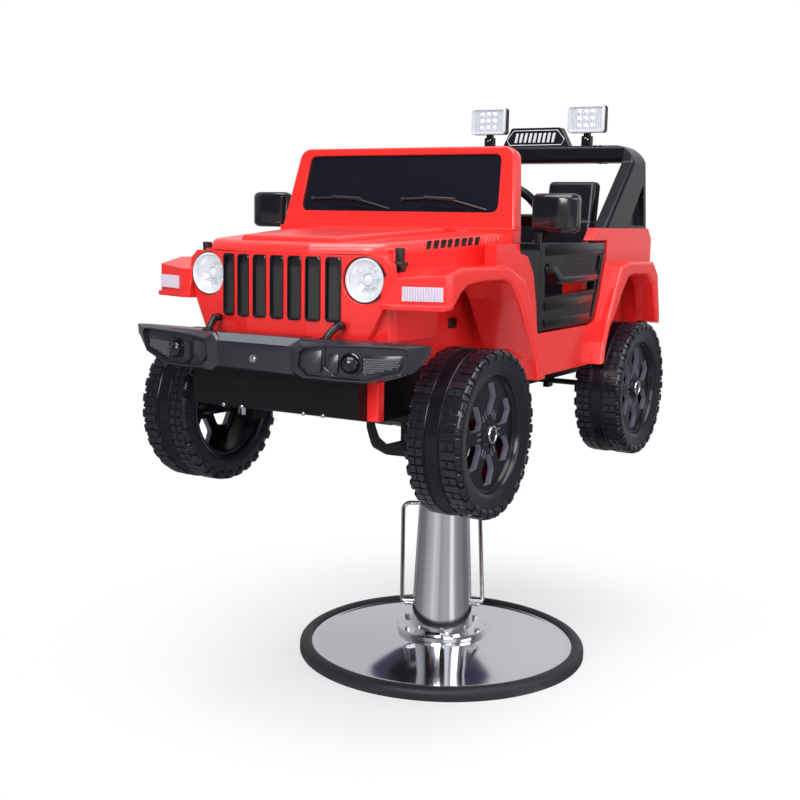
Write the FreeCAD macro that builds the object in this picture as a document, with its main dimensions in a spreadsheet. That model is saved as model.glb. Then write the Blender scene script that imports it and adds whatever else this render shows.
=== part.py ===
import FreeCAD, Part
import Sketcher
import math
import os
import re

# Kids car barber chair: a toy off-road car body on a hydraulic pedestal.
# Millimetres. +Z is up, the car looks along -Y and its left side is +X.
# The origin is the middle of the pedestal's underside, on the floor.

os.makedirs("parts", exist_ok=True)
document = FreeCAD.newDocument("KidsCarChair")

# Driving sizes, all in millimetres apart from names that end in
# degrees, count or share. Car heights are measured up from the deck,
# the underside of the chassis pan, and car lengths from the column's axis.
sizes = {
    # pedestal
    "base_radius": 300,
    "ring_width": 24,
    "ring_height": 26,
    "ring_round": 9,
    "plate_thickness": 6,
    "dish_wall": 3,
    "dish_rim_height": 20,
    "dish_height": 41,
    "pedestal_radius": 104,
    "flange_radius": 94,
    "flange_thickness": 12,
    "bolt_circle": 84,
    "bolt_head_radius": 6,
    "bolt_head_height": 5,
    "bolt_count": 6,
    "cover_foot_radius": 65,
    "cover_top_radius": 52,
    "cover_height": 277,
    "cover_wall": 2,
    "cover_shoulder": 5,
    "cylinder_radius": 44,
    "cylinder_height": 265,
    "cylinder_floor": 22,
    "gland_radius": 39,
    "gland_height": 20,
    "gland_gap": 1,
    "ram_radius": 30,
    "ram_clearance": 0.05,
    "ram_engaged": 190,
    "ram_exposed": 74,
    "ram_in_hub": 28,
    # pump pedal
    "pedal_turn_degrees": 30.3,
    "pedal_rise_degrees": 48,
    "pedal_height": 102,
    "pedal_reach": 85,
    "pedal_length": 235,
    "pedal_rod_radius": 4.5,
    "pedal_bend": 16,
    "pedal_inset": 22,
    "boss_radius": 9.5,
    "boss_stand_off": 6.5,
    "boss_gap": 0.5,
    "boss_end_gap": 1,
    # cradle between the ram and the car
    "hub_radius": 46,
    "hub_height": 35,
    "cradle_half_width": 60,
    "cradle_half_length": 90,
    "cradle_depth": 136,
    "arm_half_width": 4,
    "cradle_wall": 6,
    "arm_reach": 308,
    "arm_height": 136,
    "arm_round": 8,
    "arm_edge": 1.5,
    "arm_bend": 32,
    # wheels and axles
    "front_axle": 423,
    "axle_behind_door": 91,
    "axle_drop": 21,
    "wheel_radius": 141,
    "wheel_width": 102,
    "wheel_half_track": 273,
    "shoulder": 10,
    "rim_radius": 96,
    "rim_recess": 18,
    "rim_wall": 6,
    "rim_back": 11,
    "hub_back": 6,
    "rim_lip": 5,
    "rim_plate": 6,
    "rim_hub_radius": 24,
    "rim_hub_rise": 9,
    "rim_window_inner": 34,
    "rim_window_outer": 84,
    "rim_window_near": 11,
    "rim_window_far": 26,
    "spoke_count": 6,
    "seat_gap": 0.3,
    "axle_radius": 6,
    "axle_clearance": 0.05,
    "kingpin_half_track": 196,
    "kingpin_radius": 7,
    "knuckle_radius": 13,
    "knuckle_height": 28,
    "beam_depth": 14,
    "beam_half_width": 16,
    "beam_gap": 0.3,
    "fork_thickness": 6,
    "bracket_half_track": 106,
    "bracket_width": 12,
    "bracket_depth": 26,
    "bracket_drop": 14,
    # chassis pan
    "pan_half_width": 165,
    "pan_height": 80,
    "pan_front": 605,
    "pan_tail_inset": 15,
    "pan_nose_rise": 13,
    "pan_nose_run": 60,
    "pan_wall": 5,
    # main red body
    "body_half_width": 265,
    "side_thickness": 22,
    "flare_round": 6,
    "well_roof_rise": 243,
    "well_roof_thickness": 12,
    "sill_before_axle": 157,
    "rocker_width": 37,
    "tub_wall": 6,
    "floor_thickness": 12,
    "sill_rise": 42,
    "door_sill_rise": 122,
    "belt_step": 28,
    "tail_overhang": 180,
    "door_front": 152,
    "door_length": 336,
    "door_height": 165,
    "cowl_front": 240,
    "cowl_back": 205,
    "cowl_cap": 25,
    "firewall": 12,
    # engine bay, bonnet and nose
    "nose_front": 593,
    "nose_flat_half_width": 60,
    "nose_corner_front": 566,
    "nose_half_width": 203,
    "hood_front": 590,
    "hood_corner_front": 556,
    "hood_half_width": 188,
    "hood_nose_half_width": 174,
    "hood_corner_round": 50,
    "bay_corner_round": 34,
    "bay_rise": 132,
    "bay_half_width": 240,
    "nose_fall": 19,
    "well_front": 430,
    "well_top_rise": 218,
    "hood_thickness": 17,
    "bulge_half_width": 128,
    "bulge_front_half_width": 96,
    "bulge_rise": 9,
    "bulge_front": 560,
    "bulge_back": 262,
    "hood_round": 12,
    "grille_thickness": 14,
    "slot_pitch": 34.7,
    "slot_width": 25,
    "slot_low_rise": 163,
    "slot_margin": 4,
    "slot_count": 7,
    "slot_gap": 0.3,
    "insert_wall": 4,
    "insert_floor": 3,
    "lamp_half_track": 155,
    "lamp_radius": 37,
    "lamp_front": 575,
    "lamp_back": 530,
    "lamp_drop": 38.5,
    "lamp_ring": 4,
    "lens_depth": 16,
    "lens_setback": 2,
    # fenders
    "fender_width": 290,
    "arch_length": 229,
    "arch_height": 249,
    "fender_inner": 190,
    "fender_front": 584,
    "sweep_half_width": 285,
    "sweep_front": 547,
    "sweep_back": 533,
    "ledge_rise": 194,
    "ledge_proud": 8,
    "fin_width": 21,
    "fin_rise": 8,
    "fin_back": 560,
    "fender_lamp_inner": 223,
    "fender_lamp_outer": 282,
    "fender_lamp_low_rise": 200,
    "fender_lamp_high_rise": 223,
    "fender_lamp_depth": 5,
    # bumper, hooks, fog lamps, latches
    "bumper_low_rise": 80,
    "bumper_high_rise": 139,
    "bumper_back": 600,
    "bumper_front": 655,
    "bumper_half_width": 292,
    "bumper_centre_half": 70,
    "bumper_pod_half": 85,
    "bumper_pod_proud": 6,
    "bumper_round": 8,
    "fog_half_track": 174,
    "fog_radius": 15,
    "hook_half_track": 120,
    "hook_width": 13,
    "hook_bar": 14,
    "hook_rise": 22,
    "latch_width": 18,
    "latch_front": 540,
    "latch_drop": 30,
    "latch_proud": 8,
    # windscreen
    "screen_lean_degrees": 13.5,
    "screen_half_width": 250,
    "screen_top_half_width": 230,
    "screen_slope": 145,
    "screen_thickness": 26,
    "screen_corner": 22,
    "screen_foot": 7,
    "glass_half_low": 213,
    "glass_half_high": 206,
    "glass_low": 22,
    "glass_high": 130,
    "glass_thickness": 5,
    "glass_setback": 4,
    "glass_round": 14,
    "wiper_length": 95,
    "wiper_width": 5,
    "wiper_height": 3,
    "wiper_offset": 100,
    # dashboard and steering
    "dash_depth": 75,
    "dash_height": 95,
    "dash_clearance": 1,
    "dash_round": 14,
    "mirror_pad": 6,
    "steer_half_track": 125,
    "steer_lift": 41,
    "steer_tilt_degrees": 28,
    "steer_radius": 75,
    "steer_grip_radius": 9,
    "steer_hub_radius": 24,
    "steer_hub_height": 22,
    "steer_spoke_width": 22,
    "steer_spoke_height": 9,
    "steer_column_radius": 13,
    "steer_column_length": 130,
    "steer_gap": 0.3,
    # doors and mirrors
    "door_thickness": 16,
    "door_inset": 3,
    "door_gap": 2.5,
    "door_hinge": 141,
    "door_round": 4,
    "door_post": 22,
    "mirror_width": 86,
    "mirror_height": 69,
    "mirror_depth": 40,
    "mirror_lift": 19,
    "mirror_inner": 266,
    "mirror_post_inset": 12,
    "mirror_post_height": 18,
    "mirror_pad_half": 12,
    "mirror_back": 190,
    "mirror_post_radius": 6,
    "mirror_round": 13,
    "mirror_gap": 0.3,
    # seats
    "seat_front": 40,
    "seat_clearance": 6,
    "seat_rise": 172,
    "seat_back_front": 232,
    "seat_back_lean": 28,
    "seat_back_depth": 46,
    "seat_back_rise": 332,
    "seat_back_inner": 22,
    "headrest_inner": 88,
    "headrest_outer": 198,
    "headrest_setback": 10,
    "headrest_depth": 36,
    "headrest_height": 80,
    "seat_round": 12,
    # roll bar
    "hoop_front_reach": 83,
    "hoop_foot": 227,
    "hoop_tail_reach": 178,
    "hoop_rise": 180,
    "hoop_knee_reach": 97,
    "hoop_beam_reach": 110,
    "hoop_recess": 14,
    "hoop_thickness": 28,
    "hoop_lean_degrees": 3,
    "hoop_beam_depth": 52,
    "hoop_beam_height": 38,
    "hoop_round": 10,
    "hoop_beam_half_width": 236,
    "hoop_corner": 56,
    "hoop_top_half_width": 247,
    "hoop_foot_half_width": 257,
    "sign_half_width": 82,
    "sign_top_half_width": 60,
    "sign_height": 42,
    "sign_thickness": 24,
    "spot_half_track": 121,
    "spot_width": 86,
    "spot_height": 60,
    "spot_depth": 26,
    "spot_lens_depth": 6,
    "spot_round": 6,
    "spot_post_rise": 29,
    "spot_post_width": 22,
    "spot_post_depth": 14,
    "spot_post_foot": 4,
    "spot_ear": 4,
    "spot_pivot_rise": 15,
    "spot_tongue_half_depth": 6,
    "spot_tongue_drop": 8,
    "spot_ear_rise": 22,
    "spot_pin_radius": 2.5,
    "spot_gap": 0.3,
    # rear end
    "rear_bumper_depth": 46,
    "rear_bumper_half_width": 258,
    "rear_bumper_low_rise": 70,
    "rear_bumper_height": 49,
    "tail_lamp_half_track": 228,
    "tail_lamp_width": 34,
    "tail_lamp_height": 66,
    "tail_lamp_drop": 103,
    "tail_lamp_depth": 12,
    "tail_lamp_round": 4,
    # one overrun past a face serves every cut
    "overrun": 2,
}

# Sizes that follow from the driving ones, kept in a second sheet.
derived = {
    "rim_line": "base_radius - ring_width",
    "flange_top": "dish_height + flange_thickness",
    "cover_top": "flange_top + cover_height",
    "gland_base": "flange_top + cylinder_height",
    "bore_radius": "ram_radius + ram_clearance",
    "hub_base": "cover_top + ram_exposed",
    "hub_top": "hub_base + hub_height",
    "ram_top": "hub_base + ram_in_hub",
    "ram_length": "ram_engaged + ram_exposed + ram_in_hub",
    "deck": "hub_top + cradle_depth",
    "axle_height": "deck - axle_drop",
    "pan_top": "deck + pan_height",
    "sill": "deck + sill_rise",
    "door_sill": "deck + door_sill_rise",
    "door_top": "door_sill + door_height",
    "belt": "door_top + belt_step",
    "cowl": "door_top",
    "cowl_top": "cowl + cowl_cap",
    "bay_low": "deck + bay_rise",
    "bay_nose": "cowl - nose_fall",
    "slot_high": "bay_nose - slot_margin",
    "lamp_height": "bay_nose - lamp_drop",
    "mirror_low": "cowl + mirror_lift",
    "firewall_front": "cowl_back + firewall",
    "axle_bore": "axle_radius + axle_clearance",
    "wheel_half_width": "wheel_width / 2",
    "rim_face": "wheel_half_width - rim_recess",
    "axle_tip": "rim_face + rim_hub_rise - hub_back",
    "beam_end": "kingpin_half_track - knuckle_radius - overrun",
    "fork_gap": "knuckle_height / 2 + beam_gap",
    "bumper_low": "deck + bumper_low_rise",
    "bumper_high": "deck + bumper_high_rise",
    "panel_inner": "body_half_width - side_thickness",
    "tub_half_width": "panel_inner - rocker_width",
    "seat_half_width": "tub_half_width - seat_clearance",
    "dash_half_width": "tub_half_width - dash_clearance",
    "door_tail": "door_length - door_front",
    "rear_axle": "door_tail + axle_behind_door",
    "tail": "rear_axle + tail_overhang",
    "sill_tail": "rear_axle - sill_before_axle",
    "pan_tail": "tail - pan_tail_inset",
    "hoop_top": "belt + hoop_rise",
    "hoop_front": "rear_axle - hoop_front_reach",
    "hoop_knee": "rear_axle + hoop_knee_reach",
    "hoop_beam_front": "rear_axle + hoop_beam_reach",
    "hoop_tail": "rear_axle + hoop_tail_reach",
    "spot_low": "hoop_top + spot_post_rise",
    "spot_middle": "hoop_beam_front + hoop_beam_depth / 2",
    "door_inner": "body_half_width - door_inset - door_thickness",
    "door_middle": "door_inner + door_thickness / 2",
    "hinge_tube": "door_thickness / 2",
    "mirror_post_x": "mirror_inner + mirror_post_inset",
    "seat_top": "deck + seat_rise",
    "seat_back_top": "deck + seat_back_rise",
    "steer_height": "cowl + steer_lift",
    "floor_top": "pan_top + floor_thickness",
}


def fill_sheet(name, cells, written):
    """Put named cells in a sheet, one to a row."""
    sheet = document.addObject("Spreadsheet::Sheet", name)
    for row, alias in enumerate(cells, start=1):
        sheet.set("A%d" % row, alias)
        sheet.set("B%d" % row, written(cells[alias]))
        sheet.setAlias("B%d" % row, alias)
    return sheet


home = {alias: "Sizes" for alias in sizes}
home.update({alias: "Derived" for alias in derived})


def spelled(text):
    """A sum of size names with each name's sheet in front of it."""
    def full(word):
        name = word.group(0)
        return "%s.%s" % (home[name], name) if name in home else name
    return re.sub(r"[a-z_]+", full, text)


fill_sheet("Sizes", sizes, str)
document.recompute()
fill_sheet("Derived", derived, lambda text: "=" + spelled(text))
document.recompute()

ruler = document.addObject("App::FeaturePython", "Ruler")
ruler.addProperty("App::PropertyFloat", "Reading")


def size(text):
    """The number that a sum of size names comes to."""
    ruler.setExpression("Reading", spelled(text))
    ruler.recompute()
    return ruler.Reading


def bind(thing, links):
    for path, text in links.items():
        thing.setExpression(path, spelled(text))


def settle(thing):
    """Recompute and stop if a shape failed."""
    document.recompute()
    if "Invalid" in thing.State or "Error" in thing.State:
        raise RuntimeError("%s did not recompute" % thing.Name)
    return thing


roles = {"top": "XY_Plane", "front": "XZ_Plane", "side": "YZ_Plane"}


def plane_sketch(body, plane, start):
    """An empty sketch; top, front and side planes face +Z, -Y and +X."""
    sketch = body.newObject("Sketcher::SketchObject", body.Name + "_sketch")
    origin = [item for item in body.Origin.OriginFeatures if item.Role == roles[plane]]
    sketch.AttachmentSupport = [(origin[0], "")]
    sketch.MapMode = "FlatFace"
    bind(sketch, {"AttachmentOffset.Base.z": start})
    return sketch


def outline(body, plane, corners, start="0"):
    """A closed sketch of straight edges with every corner tied to sizes."""
    sketch = plane_sketch(body, plane, start)
    places = [FreeCAD.Vector(size(across), size(up), 0) for across, up in corners]
    count = len(places)
    for number in range(count):
        following = places[(number + 1) % count]
        sketch.addGeometry(Part.LineSegment(places[number], following))
    for number in range(count):
        sketch.addConstraint(Sketcher.Constraint("Coincident", number, 2, (number + 1) % count, 1))
    for number, corner in enumerate(corners):
        for kind, text, place in zip(("DistanceX", "DistanceY"), corner, places[number]):
            rule = sketch.addConstraint(Sketcher.Constraint(kind, -1, 1, number, 1, place))
            sketch.setExpression("Constraints[%d]" % rule, spelled(text))
    return sketch


def disc(body, plane, across, up, radius, start="0"):
    """A sketch of one circle."""
    sketch = plane_sketch(body, plane, start)
    middle = FreeCAD.Vector(size(across), size(up), 0)
    normal = FreeCAD.Vector(0, 0, 1)
    sketch.addGeometry(Part.Circle(middle, normal, size(radius)))
    rules = (("DistanceX", across), ("DistanceY", up))
    for kind, text in rules:
        rule = sketch.addConstraint(Sketcher.Constraint(kind, -1, 1, 0, 3, size(text)))
        sketch.setExpression("Constraints[%d]" % rule, spelled(text))
    rule = sketch.addConstraint(Sketcher.Constraint("Radius", 0, size(radius)))
    sketch.setExpression("Constraints[%d]" % rule, spelled(radius))
    return sketch


def new_body(name):
    return document.addObject("PartDesign::Body", name)


def grow(body, sketch, depth):
    """Pad a sketch along its plane's direction."""
    feature = body.newObject("PartDesign::Pad", body.Name + "_pad")
    feature.Profile = sketch
    bind(feature, {"Length": depth})
    body.Tip = feature
    settle(feature)
    return body


def sink(body, sketch, depth):
    """Pocket a sketch along its plane's direction."""
    before = body.Shape.Volume
    feature = body.newObject("PartDesign::Pocket", body.Name + "_pocket")
    feature.Profile = sketch
    feature.Reversed = True
    bind(feature, {"Length": depth})
    body.Tip = feature
    settle(feature)
    if body.Shape.Volume >= before:
        raise RuntimeError("a pocket of %s cuts nothing" % body.Name)
    return body


def block(name, plane, corners, start, depth):
    """A body padded from one outline."""
    body = new_body(name)
    return grow(body, outline(body, plane, corners, start), depth)


def turned(name, corners):
    """A body of revolution about Z from (radius, height) corners."""
    body = new_body(name)
    sketch = outline(body, "front", corners)
    feature = body.newObject("PartDesign::Revolution", name + "_turn")
    feature.Profile = sketch
    feature.ReferenceAxis = (sketch, ["V_Axis"])
    feature.Angle = 360
    body.Tip = feature
    settle(feature)
    return body


def runs_along(axis):
    """Chooses the straight edges that run along an axis."""
    def test(edge):
        if len(edge.Vertexes) < 2 or not isinstance(edge.Curve, Part.Line):
            return False
        run = edge.Vertexes[1].Point - edge.Vertexes[0].Point
        run.normalize()
        return abs(abs(run[axis]) - 1) < 1e-6
    return test


def lies_at(axis, text):
    """Chooses the edges that lie in a plane across an axis."""
    place = size(text)
    near = 1e-4 * size("base_radius")

    def test(edge):
        low = (edge.BoundBox.XMin, edge.BoundBox.YMin, edge.BoundBox.ZMin)[axis]
        high = (edge.BoundBox.XMax, edge.BoundBox.YMax, edge.BoundBox.ZMax)[axis]
        return abs(low - place) < near and abs(high - place) < near
    return test


def soften(body, radius, *tests):
    """Fillet the edges of a body that pass every test."""
    base = body.Tip
    names = ["Edge%d" % (number + 1) for number, edge in enumerate(base.Shape.Edges)
             if all(test(edge) for test in tests)]
    feature = body.newObject("PartDesign::Fillet", body.Name + "_fillet")
    feature.Base = (base, names)
    bind(feature, {"Radius": radius})
    body.Tip = feature
    settle(feature)
    return body


def box(name, across, along, up):
    """A box from three pairs of size sums."""
    thing = document.addObject("Part::Box", name)
    sides = ("Length", "Width", "Height")
    for side, axis, (low, high) in zip(sides, "xyz", (across, along, up)):
        bind(thing, {side: "(%s) - (%s)" % (high, low), "Placement.Base." + axis: low})
    return settle(thing)


x_axis = FreeCAD.Vector(1, 0, 0)
y_axis = FreeCAD.Vector(0, 1, 0)
z_axis = FreeCAD.Vector(0, 0, 1)


def rod(name, radius, length, base, toward=z_axis):
    """A cylinder from the middle of one end towards a direction."""
    thing = document.addObject("Part::Cylinder", name)
    thing.Placement.Rotation = FreeCAD.Rotation(z_axis, toward)
    bind(thing, {"Radius": radius, "Height": length})
    bind(thing, {"Placement.Base." + axis: text for axis, text in zip("xyz", base)})
    return settle(thing)


def place(thing, base, axis, degrees):
    """Turn a piece about its own origin and set it at a place."""
    thing.Placement.Rotation = FreeCAD.Rotation(axis, degrees)
    bind(thing, {"Placement.Base." + letter: text for letter, text in zip("xyz", base)})
    return settle(thing)


def cut(name, base, tool):
    thing = document.addObject("Part::Cut", name)
    thing.Base = base
    thing.Tool = tool
    return settle(thing)


def fuse(name, *shapes):
    thing = document.addObject("Part::MultiFuse", name)
    thing.Shapes = list(shapes)
    thing.Refine = True
    return settle(thing)


def common(name, *shapes):
    thing = document.addObject("Part::MultiCommon", name)
    thing.Shapes = list(shapes)
    return settle(thing)


def group(name, *shapes):
    thing = document.addObject("Part::Compound", name)
    thing.Links = list(shapes)
    return settle(thing)


def mirror(name, source, across=x_axis):
    thing = document.addObject("Part::Mirroring", name)
    thing.Source = source
    thing.Normal = across
    return settle(thing)


def both_sides(name, left):
    """A left piece and its mirror image as one node."""
    return group(name, left, mirror(name + "_right", left))


def pair(name_left, name_right, left):
    """A left piece and its mirror image as two nodes."""
    left.Label = name_left
    nodes.append(left)
    nodes.append(mirror(name_right, left))


nodes = []


def keep(*things):
    nodes.extend(things)


# Base disc: a ballast plate under a domed dish, with a soft ring round the rim
plate = turned("ballast_plate", [
    ("0", "0"),
    ("rim_line", "0"),
    ("rim_line", "plate_thickness"),
    ("pedestal_radius", "plate_thickness"),
    ("pedestal_radius", "dish_height - dish_wall"),
    ("0", "dish_height - dish_wall"),
])
ring = turned("base_ring", [
    ("rim_line", "0"),
    ("base_radius", "0"),
    ("base_radius", "ring_height"),
    ("rim_line", "ring_height"),
])
soften(ring, "ring_round", lies_at(2, "ring_height"),
       lambda edge: edge.Curve.Radius > size("(base_radius + rim_line) / 2"))
dome_shares = (1, 0.8, 0.55, 0.28, 0)
dome = [("pedestal_radius + (rim_line - pedestal_radius) * %g" % share,
         "dish_height - (dish_height - dish_rim_height) * %g" % share ** 2) for share in dome_shares]
under = [("%s - dish_wall * %g" % (across, share), up + " - dish_wall")
         for (across, up), share in zip(dome, dome_shares)]
dish = turned("base_dish", [("rim_line", "plate_thickness")] + dome + [
    ("0", "dish_height"),
    ("0", "dish_height - dish_wall"),
] + under[::-1] + [("rim_line - dish_wall", "plate_thickness")])
keep(plate, ring, dish)

# Pump: a bolted flange, the cylinder with its gland, and the conical cover
flange = turned("pump_flange", [
    ("0", "dish_height"),
    ("flange_radius", "dish_height"),
    ("flange_radius", "flange_top"),
    ("0", "flange_top"),
])
bolts = []
for number in range(int(size("bolt_count"))):
    bolt = document.addObject("Part::Prism", "bolt_head")
    turn = "360 / bolt_count * %d" % number
    bolt.Polygon = 6
    bind(bolt, {"Circumradius": "bolt_head_radius", "Height": "bolt_head_height"})
    place(bolt, ("bolt_circle * cos(%s)" % turn, "bolt_circle * sin(%s)" % turn, "flange_top"), z_axis, 0)
    bolts.append(bolt)
bolts = group("flange_bolts", *bolts)
cylinder = turned("pump_cylinder", [
    ("0", "flange_top"),
    ("cylinder_radius", "flange_top"),
    ("cylinder_radius", "gland_base"),
    ("bore_radius", "gland_base"),
    ("bore_radius", "flange_top + cylinder_floor"),
    ("0", "flange_top + cylinder_floor"),
])
gland = turned("pump_gland", [
    ("bore_radius", "gland_base"),
    ("gland_radius", "gland_base"),
    ("gland_radius", "gland_base + gland_height"),
    ("bore_radius", "gland_base + gland_height"),
])
cover_shell = turned("cover_shell", [
    ("cover_foot_radius", "flange_top"),
    ("cover_top_radius", "cover_top - cover_shoulder"),
    ("cover_top_radius - cover_shoulder", "cover_top"),
    ("gland_radius + gland_gap", "cover_top"),
    ("gland_radius + gland_gap", "cover_top - cover_wall"),
    ("cover_top_radius - cover_shoulder - cover_wall / 2", "cover_top - cover_wall"),
    ("cover_top_radius - cover_wall", "cover_top - cover_shoulder - cover_wall / 2"),
    ("cover_foot_radius - cover_wall", "flange_top"),
])
pedal_turn = sizes["pedal_turn_degrees"]
shaft_line = FreeCAD.Rotation(z_axis, pedal_turn).multVec(x_axis)
boss_hole = rod("boss_hole", "boss_radius + boss_gap", "flange_radius * 2", (
    "-flange_radius * cos(pedal_turn_degrees)",
    "-flange_radius * sin(pedal_turn_degrees)",
    "pedal_height"), shaft_line)
cover = cut("column_cover", cover_shell, boss_hole)


def pedal_boss(name, side):
    """A collar on the side of the pump that carries one end of the pedal bar."""
    start = "%d * cylinder_radius" % side
    base = (start + " * cos(pedal_turn_degrees)", start + " * sin(pedal_turn_degrees)", "pedal_height")
    reach = "pedal_reach - boss_stand_off - cylinder_radius"
    collar = rod(name, "boss_radius", reach, base, shaft_line * side)
    start = "%d * (pedal_reach - pedal_inset - boss_end_gap)" % side
    base = (start + " * cos(pedal_turn_degrees)", start + " * sin(pedal_turn_degrees)", "pedal_height")
    bore = rod(name + "_bore", "pedal_rod_radius + axle_clearance", "pedal_inset", base, shaft_line * side)
    return cut(name + "_bored", collar, bore)


bosses = group("pedal_bosses", pedal_boss("boss_left", 1), pedal_boss("boss_right", -1))
keep(flange, bolts, cylinder, gland, cover, bosses)


def bent_bar(points, bends, radius):
    """A round bar along straight runs joined by tangent arcs."""
    edges = []
    last = points[0]
    for before, corner, after, bend in zip(points, points[1:], points[2:], bends):
        back = (before - corner).normalize()
        ahead = (after - corner).normalize()
        half_turn = (math.pi - back.getAngle(ahead)) / 2
        run = bend * math.tan(half_turn)
        inward = (back + ahead).normalize()
        middle = corner + inward * (bend / math.cos(half_turn) - bend)
        edges.append(Part.LineSegment(last, corner + back * run).toShape())
        edges.append(Part.Arc(corner + back * run, middle, corner + ahead * run).toShape())
        last = corner + ahead * run
    edges.append(Part.LineSegment(last, points[-1]).toShape())
    path = Part.Wire(edges)
    heading = points[1] - points[0]
    section = Part.Wire([Part.Circle(points[0], heading, radius).toShape()])
    return path.makePipeShell([section], True, True)


# Pump pedal: one bent steel bar that hinges in the two collars
def pedal_bar():
    reach = size("pedal_reach")
    inset = size("pedal_reach - pedal_inset")
    out = size("pedal_length * cos(pedal_rise_degrees)")
    rise = size("pedal_length * sin(pedal_rise_degrees)")
    bend = size("pedal_bend")
    tight = size("pedal_rod_radius * 1.2")
    points = [FreeCAD.Vector(*point) for point in (
        (-inset, 0, 0),
        (-reach, 0, 0),
        (-reach, out, rise),
        (reach, out, rise),
        (reach, 0, 0),
        (inset, 0, 0),
    )]
    bar = document.addObject("Part::Feature", "pump_pedal")
    bar.Shape = bent_bar(points, (tight, bend, bend, tight), size("pedal_rod_radius"))
    return place(bar, ("0", "0", "pedal_height"), z_axis, pedal_turn)


keep(pedal_bar())

# Ram and the cradle that carries the car
ram = rod("lift_ram", "ram_radius", "ram_length", ("0", "0", "ram_top - ram_length"))
hub = turned("swivel_hub", [
    ("bore_radius", "hub_base"),
    ("hub_radius", "hub_base"),
    ("hub_radius", "hub_top"),
    ("0", "hub_top"),
    ("0", "ram_top + seat_gap"),
    ("bore_radius", "ram_top + seat_gap"),
])


def rectangle(low_x, high_x, low_y, high_y):
    return [(low_x, low_y), (high_x, low_y), (high_x, high_y), (low_x, high_y)]


cradle = block("cradle_box", "top", rectangle(
    "-cradle_half_width", "cradle_half_width", "-cradle_half_length", "cradle_half_length",
), "hub_top", "cradle_depth")
soften(cradle, "arm_round", runs_along(2))
sink(cradle, outline(cradle, "top", rectangle(
    "cradle_wall - cradle_half_width",
    "cradle_half_width - cradle_wall",
    "cradle_wall - cradle_half_length",
    "cradle_half_length - cradle_wall",
), "hub_top + cradle_wall"), "cradle_depth")
arm_shares = (
    (0.53, 0), (0.77, 0.118), (0.935, 0.287), (1, 0.58), (1, 1), (0.94, 1),
    (0.938, 0.62), (0.883, 0.41), (0.78, 0.27), (0.53, 0.257),
)
front_arm = block("cradle_front_arm", "side", [("-cradle_half_length", "hub_top")] + [
    ("-arm_reach * %g" % along, "hub_top + arm_height * %g" % up) for along, up in arm_shares
] + [("-cradle_half_length", "hub_top + arm_height * 0.257")], "-arm_half_width", "arm_half_width * 2")
soften(front_arm, "arm_bend", runs_along(0), lambda edge: edge.CenterOfMass.y < -size("arm_reach / 2"),
       lambda edge: edge.CenterOfMass.z < size("deck - arm_round"))
soften(front_arm, "arm_edge", lies_at(0, "arm_half_width"))
soften(front_arm, "arm_edge", lies_at(0, "-arm_half_width"))
arms = group("cradle_arms", front_arm, mirror("cradle_rear_arm", front_arm, y_axis))
keep(ram, hub, cradle, arms)


# Wheels: a hollow tread ring on a dished six-spoke rim with its hub tube
def tyre(name, side, along):
    ring = turned(name, [
        ("rim_radius", "-wheel_half_width"),
        ("wheel_radius - shoulder", "-wheel_half_width"),
        ("wheel_radius", "shoulder - wheel_half_width"),
        ("wheel_radius", "wheel_half_width - shoulder"),
        ("wheel_radius - shoulder", "wheel_half_width"),
        ("rim_radius", "wheel_half_width"),
    ])
    return place(ring, ("%d * wheel_half_track" % side, along, "axle_height"), y_axis, 90 * side)


def rim(name, side, along):
    wheel = turned(name, [
        ("0", "rim_face + rim_hub_rise"),
        ("rim_hub_radius", "rim_face + rim_hub_rise"),
        ("rim_hub_radius + rim_lip", "rim_face"),
        ("rim_radius - rim_lip * 2", "rim_face"),
        ("rim_radius - rim_lip", "wheel_half_width - rim_lip"),
        ("rim_radius", "wheel_half_width - rim_lip"),
        ("rim_radius", "rim_back - wheel_half_width"),
        ("rim_radius - rim_wall", "rim_back - wheel_half_width"),
        ("rim_radius - rim_wall", "rim_face - rim_plate"),
        ("rim_hub_radius", "rim_face - rim_plate"),
        ("rim_hub_radius", "hub_back - wheel_half_width"),
        ("axle_bore", "hub_back - wheel_half_width"),
        ("axle_bore", "axle_tip"),
        ("0", "axle_tip"),
    ])
    window = outline(wheel, "top", [
        ("rim_window_inner", "-rim_window_near"),
        ("rim_window_outer", "-rim_window_far"),
        ("rim_window_outer", "rim_window_far"),
        ("rim_window_inner", "rim_window_near"),
    ], "rim_face - rim_plate - overrun")
    sink(wheel, window, "rim_plate + overrun * 2")
    pocket = wheel.Tip
    pattern = wheel.newObject("PartDesign::PolarPattern", name + "_spokes")
    pattern.Originals = [pocket]
    pattern.Axis = (window, ["N_Axis"])
    pattern.Angle = 360
    bind(pattern, {"Occurrences": "spoke_count"})
    wheel.Tip = pattern
    settle(pattern)
    return place(wheel, ("%d * wheel_half_track" % side, along, "axle_height"), y_axis, 90 * side)


corners = (
    ("front_left", 1, "-front_axle"),
    ("front_right", -1, "-front_axle"),
    ("rear_left", 1, "rear_axle"),
    ("rear_right", -1, "rear_axle"),
)
for corner, side, along in corners:
    keep(tyre("tyre_" + corner, side, along), rim("rim_" + corner, side, along))

# Axles: a front beam with forks and kingpins, and a plain rear rod in brackets
beam_depths = ("-front_axle - beam_half_width", "-front_axle + beam_half_width")
beam = box("beam_bar", ("-beam_end", "beam_end"), beam_depths, ("deck - beam_depth", "deck"))


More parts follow.
